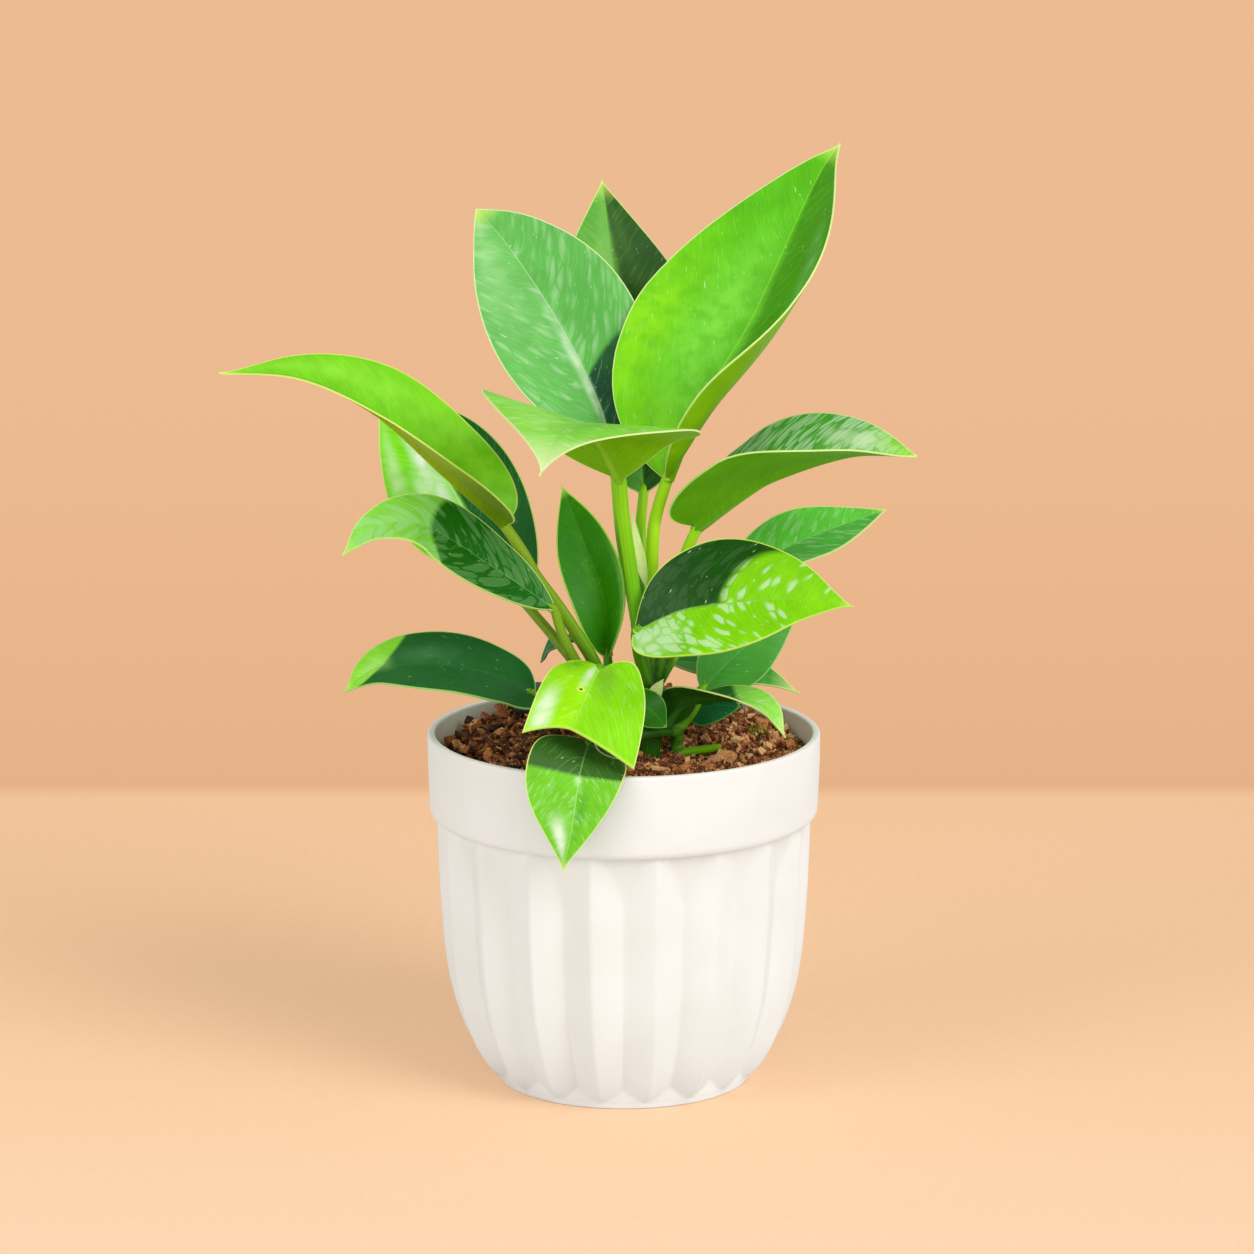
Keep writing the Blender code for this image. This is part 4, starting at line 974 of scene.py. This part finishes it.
# Leaf stalk: fleshy and green, lime where it is young high up and darker low down, where part of
# the dark is painted shade at the crown; lime to the right as painted light; olive on the old left
# stalks; dark with painted shade in the clefts where stalks clasp each other; with streaks about 1
# mm wide.
stalk_skin, tree, shader = finish("Leaf stalk skin, fleshy green", 0.38, ior=1.36)
feed(shader, {"Specular IOR Level": 0.35})
grain_at = node(tree, "Attribute", attribute_name="grain").outputs["Vector"]
joint = node(tree, "Attribute", attribute_name="joint").outputs["Vector"]
joint = node(tree, "SeparateXYZ", {0: joint})
split = node(tree, "SeparateXYZ", {0: node(tree, "TexCoord").outputs["Object"]})
streak = node(tree, "TexNoise", {"Vector": grain_at, "Scale": 1.0, "Detail": 3.0})
# Darker low down and lime high up: partly the stalks' own colour, partly painted shade at the crown
lift = node(tree, "MapRange", {"Value": split.outputs["Z"], "From Min": 128 * MM,
                               "From Max": 205 * MM, "To Max": 0.8})
high = node(tree, "MapRange", {"Value": split.outputs["Z"], "From Min": 145 * MM,
                               "From Max": 170 * MM})
# Painted light: stalks are lighter and lime to the right, where the light falls
for start, end, most, where in ((6, 9, 0.5, high), (17, 20, 0.55, 1.0)):
    painted_sunlight = node(tree, "MapRange", {"Value": split.outputs["X"], "From Min": start * MM,
                                    "From Max": end * MM, "To Max": most})
    lift = node(tree, "Math", {0: painted_sunlight, 1: where, 2: lift}, operation="MULTIPLY_ADD")
old = node(tree, "MapRange", {"Value": split.outputs["X"], "From Min": -6 * MM,
                              "From Max": -26 * MM, "To Max": 0.6})
shift = node(tree, "Math", {0: streak, 1: 0.5, 2: -0.25}, operation="MULTIPLY_ADD")
mixed = node(tree, "Math", {0: lift, 1: shift}, operation="ADD")
tone = node(tree, "ValToRGB", {"Fac": mixed},
            stops=[(0.0, "265A08"), (0.25, "4A9010"), (0.6, "78C00A"), (1.0, "B0EC1C")])
aged = node(tree, "Mix", {0: old, 6: tone, 7: linear("96A428")}, data_type="RGBA")
under = node(tree, "Mix", {0: joint.outputs["X"], 6: aged.outputs[2], 7: linear("7CB406")},
             data_type="RGBA")
# Painted shade: dark in the clefts where stalks clasp each other
painted_cleft_shade = node(tree, "Mix", {0: joint.outputs["Y"], 6: under.outputs[2], 7: linear("1E4A0A")},
             data_type="RGBA")
relief = node(tree, "Bump", {"Strength": 0.25, "Distance": 0.2 * MM, "Height": streak})
feed(shader, {"Base Color": painted_cleft_shade.outputs[2], "Normal": relief})

for shoot, ((x, y), thick, top) in SHOOTS.items():
    runs = [[((x, y, STEM_FOOT + (top - STEM_FOOT) * step / STEM_STEPS),
              thick * (1 - 0.2 * step / STEM_STEPS)) for step in range(STEM_STEPS + 1)]]
    for points, radius in stalk_runs[shoot]:
        path = spline(points + [Vector((x, y, top - 3)), Vector((x, y, top - 6))], 8)
        # A stalk thickens towards its foot and tapers off under the blade
        run = []
        for place, point in enumerate(path):
            grown = 0.76 + 0.3 * (place / (len(path) - 1)) ** 1.3
            run.append((point, radius * grown * min(1.0, 0.25 + place / 20)))
        runs.append(run)
    if shoot == "right":
        runs.append(list(zip(spline(DRIED_STALK, 4), DRIED_RADII)))
    fused = bpy.data.objects.new("fusing", rods("fusing", runs, 12))
    bpy.context.scene.collection.objects.link(fused)
    remesh = fused.modifiers.new("fuse", "REMESH")
    remesh.mode, remesh.voxel_size = "VOXEL", FUSE_GRAIN * MM
    graph = bpy.context.evaluated_depsgraph_get()
    mesh = bpy.data.meshes.new_from_object(fused.evaluated_get(graph))
    bpy.data.objects.remove(fused)
    bm = bmesh.new()
    bm.from_mesh(mesh)
    for _ in range(2):
        bmesh.ops.smooth_vert(bm, verts=bm.verts, factor=0.5, use_axis_x=True, use_axis_y=True,
                              use_axis_z=True)
    bmesh.ops.recalc_face_normals(bm, faces=bm.faces)
    grain_layer = bm.verts.layers.float_vector.new("grain")
    joint_layer = bm.verts.layers.float_vector.new("joint")
    knots = [(run, step) for run in runs for step in range(len(run) - 1)]
    leafy = {id(run) for run in runs[1:1 + len(stalk_runs[shoot])]}
    tree_of_knots = kdtree.KDTree(len(knots))
    for index, (run, step) in enumerate(knots):
        tree_of_knots.insert(Vector(run[step][0]) * MM, index)
    tree_of_knots.balance()
    for vertex in bm.verts:
        run, step = knots[tree_of_knots.find(vertex.co)[1]]
        here, there = Vector(run[step][0]), Vector(run[step + 1][0])
        axis = (there - here).normalized()
        off = vertex.co / MM - here
        round_it = off - axis * off.dot(axis)
        down = (step + off.dot(axis)) * 0.04 + len(run)
        vertex[grain_layer] = round_it * 1.1 + Vector((0, 0, down))
        clear = 9.0           # how far off the next stalk's skin is, where it is near
        for _, index, far in tree_of_knots.find_n(vertex.co, 16):
            other, knot = knots[index]
            if other is not run:
                clear = min(clear, far / MM - other[knot][1])
        by_blade = max(0.0, 1 - step / STALK_BY_BLADE) if id(run) in leafy else 0.0
        # Painted shade in the clefts, strongest where the next stalk's skin is about 0.3 mm off
        painted_cleft_shade = max(0.0, min(1.0, 1 - abs(clear - 0.3) / 1.2)) * 0.8
        vertex[joint_layer] = (by_blade, painted_cleft_shade, 0.0)
    bm.to_mesh(mesh)
    bm.free()
    mesh.shade_smooth()
    mesh.name = "shoot_" + shoot + "_stalks"
    add_piece("shoot_" + shoot + "_stalks", mesh, [stalk_skin], ["shoot_" + shoot])

# ---------------------------------------------------------------------------
# The studio: a floor of peach paper, a big soft lamp high at the right, two
# fills, and a long lens at a person's height. None of it is part of the plant.

bm = bmesh.new()
bmesh.ops.create_circle(bm, cap_ends=True, segments=96, radius=3.2)
mesh = bpy.data.meshes.new("studio_floor")
bm.to_mesh(mesh)
bm.free()
# Matte peach paper. To the camera it is peach, a little darker where it is far behind; to
# the plant it is neutral, so it throws no peach light on it.
paper, tree, shader = finish("Matte peach paper", 0.95, ior=1.3)
place = node(tree, "TexCoord").outputs["Object"]
depth = node(tree, "SeparateXYZ", {0: place}).outputs["Y"]
fleck = node(tree, "TexNoise", {"Vector": place, "Scale": 1 / (3 * MM), "Detail": 3.0})
near = node(tree, "MapRange", {"Value": depth, "From Min": -0.2, "From Max": 0.4})
tone = node(tree, "ValToRGB", {"Fac": near},
            stops=[(0.0, "FFDAB6"), (0.35, "FED2AA"), (1.0, "F8CAA0")])
mottle = node(tree, "MapRange", {"Value": fleck, "From Min": 0.3, "From Max": 0.7,
                                 "To Min": 0.985, "To Max": 1.015})
peach = node(tree, "VectorMath", {0: tone, "Scale": mottle}, operation="SCALE")
far = node(tree, "MapRange", {"Value": depth, "From Min": 0.4, "From Max": 1.6})
behind = node(tree, "ValToRGB", {"Fac": far},
              stops=[(0.0, "E5B287"), (0.16, "E8B58A"), (0.35, "EAB78C"), (0.7, "ECBA90"),
                     (1.0, "ECBB92")])
beyond = node(tree, "MapRange", {"Value": depth, "From Min": 0.39, "From Max": 0.425},
              interpolation_type="SMOOTHSTEP")
glow_tone = node(tree, "Mix", {0: beyond, 6: peach, 7: behind}, data_type="RGBA")
glow = node(tree, "Emission", {"Color": glow_tone.outputs[2], "Strength": 1.0})
ray = node(tree, "LightPath").outputs["Is Camera Ray"]
seen = node(tree, "Mix", {0: ray, 6: linear("E2DDD6"), 7: peach}, data_type="RGBA")
feed(shader, {"Base Color": seen.outputs[2]})
even = node(tree, "MapRange", {"Value": beyond, "To Min": 0.25, "To Max": 1.0})
lit = node(tree, "Math", {0: even, 1: ray}, operation="MULTIPLY")
both = node(tree, "MixShader", {0: lit, 1: shader, 2: glow})
feed(tree.nodes["Material Output"], {"Surface": both})
mesh.materials.append(paper)
studio_floor = bpy.data.objects.new("studio_floor", mesh)
bpy.context.scene.collection.objects.link(studio_floor)

for name, kind, spot, size, power in (("key", "SUN", (0.52, -0.54, 0.90), radians(34), 0.95),
                                      ("fill_right", "AREA", (2.4, -2.3, 1.5), 1.6, 29.0),
                                      ("fill_left", "AREA", (-2.6, -2.0, 1.7), 2.2, 35.0)):
    data = bpy.data.lights.new(name, kind)
    data.energy = power
    if kind == "SUN":
        data.angle = size
    else:
        data.shape, data.size = "DISK", size
    lamp = bpy.data.objects.new(name, data)
    lamp.location = spot
    lamp.rotation_euler = (Vector((0, 0, 0.17)) - Vector(spot)).to_track_quat("-Z", "Y").to_euler()
    lamp.visible_camera = False
    bpy.context.scene.collection.objects.link(lamp)

world = bpy.data.worlds.new("studio")
bpy.context.scene.world = world
world.use_nodes = True
tree = world.node_tree
ray = node(tree, "LightPath").outputs["Is Camera Ray"]
wall = node(tree, "Background", {"Color": linear("ECBB92"), "Strength": 1.0})
air = tree.nodes["Background"]
feed(air, {"Color": linear("F6F2EC"), "Strength": 0.62})
both = node(tree, "MixShader", {0: ray, 1: air, 2: wall})
feed(tree.nodes["World Output"], {"Surface": both})

view = bpy.data.cameras.new("camera")
view.lens, view.sensor_width = 153.9, 36.0
view.clip_start, view.clip_end = 0.1, 20.0
camera = bpy.data.objects.new("camera", view)
camera.location = (1.12 * MM, -1.860, 0.5757)
camera.rotation_euler = (radians(90 - 12.46), 0, 0)
bpy.context.scene.collection.objects.link(camera)
bpy.context.scene.camera = camera
bpy.context.scene.view_settings.view_transform = "Standard"
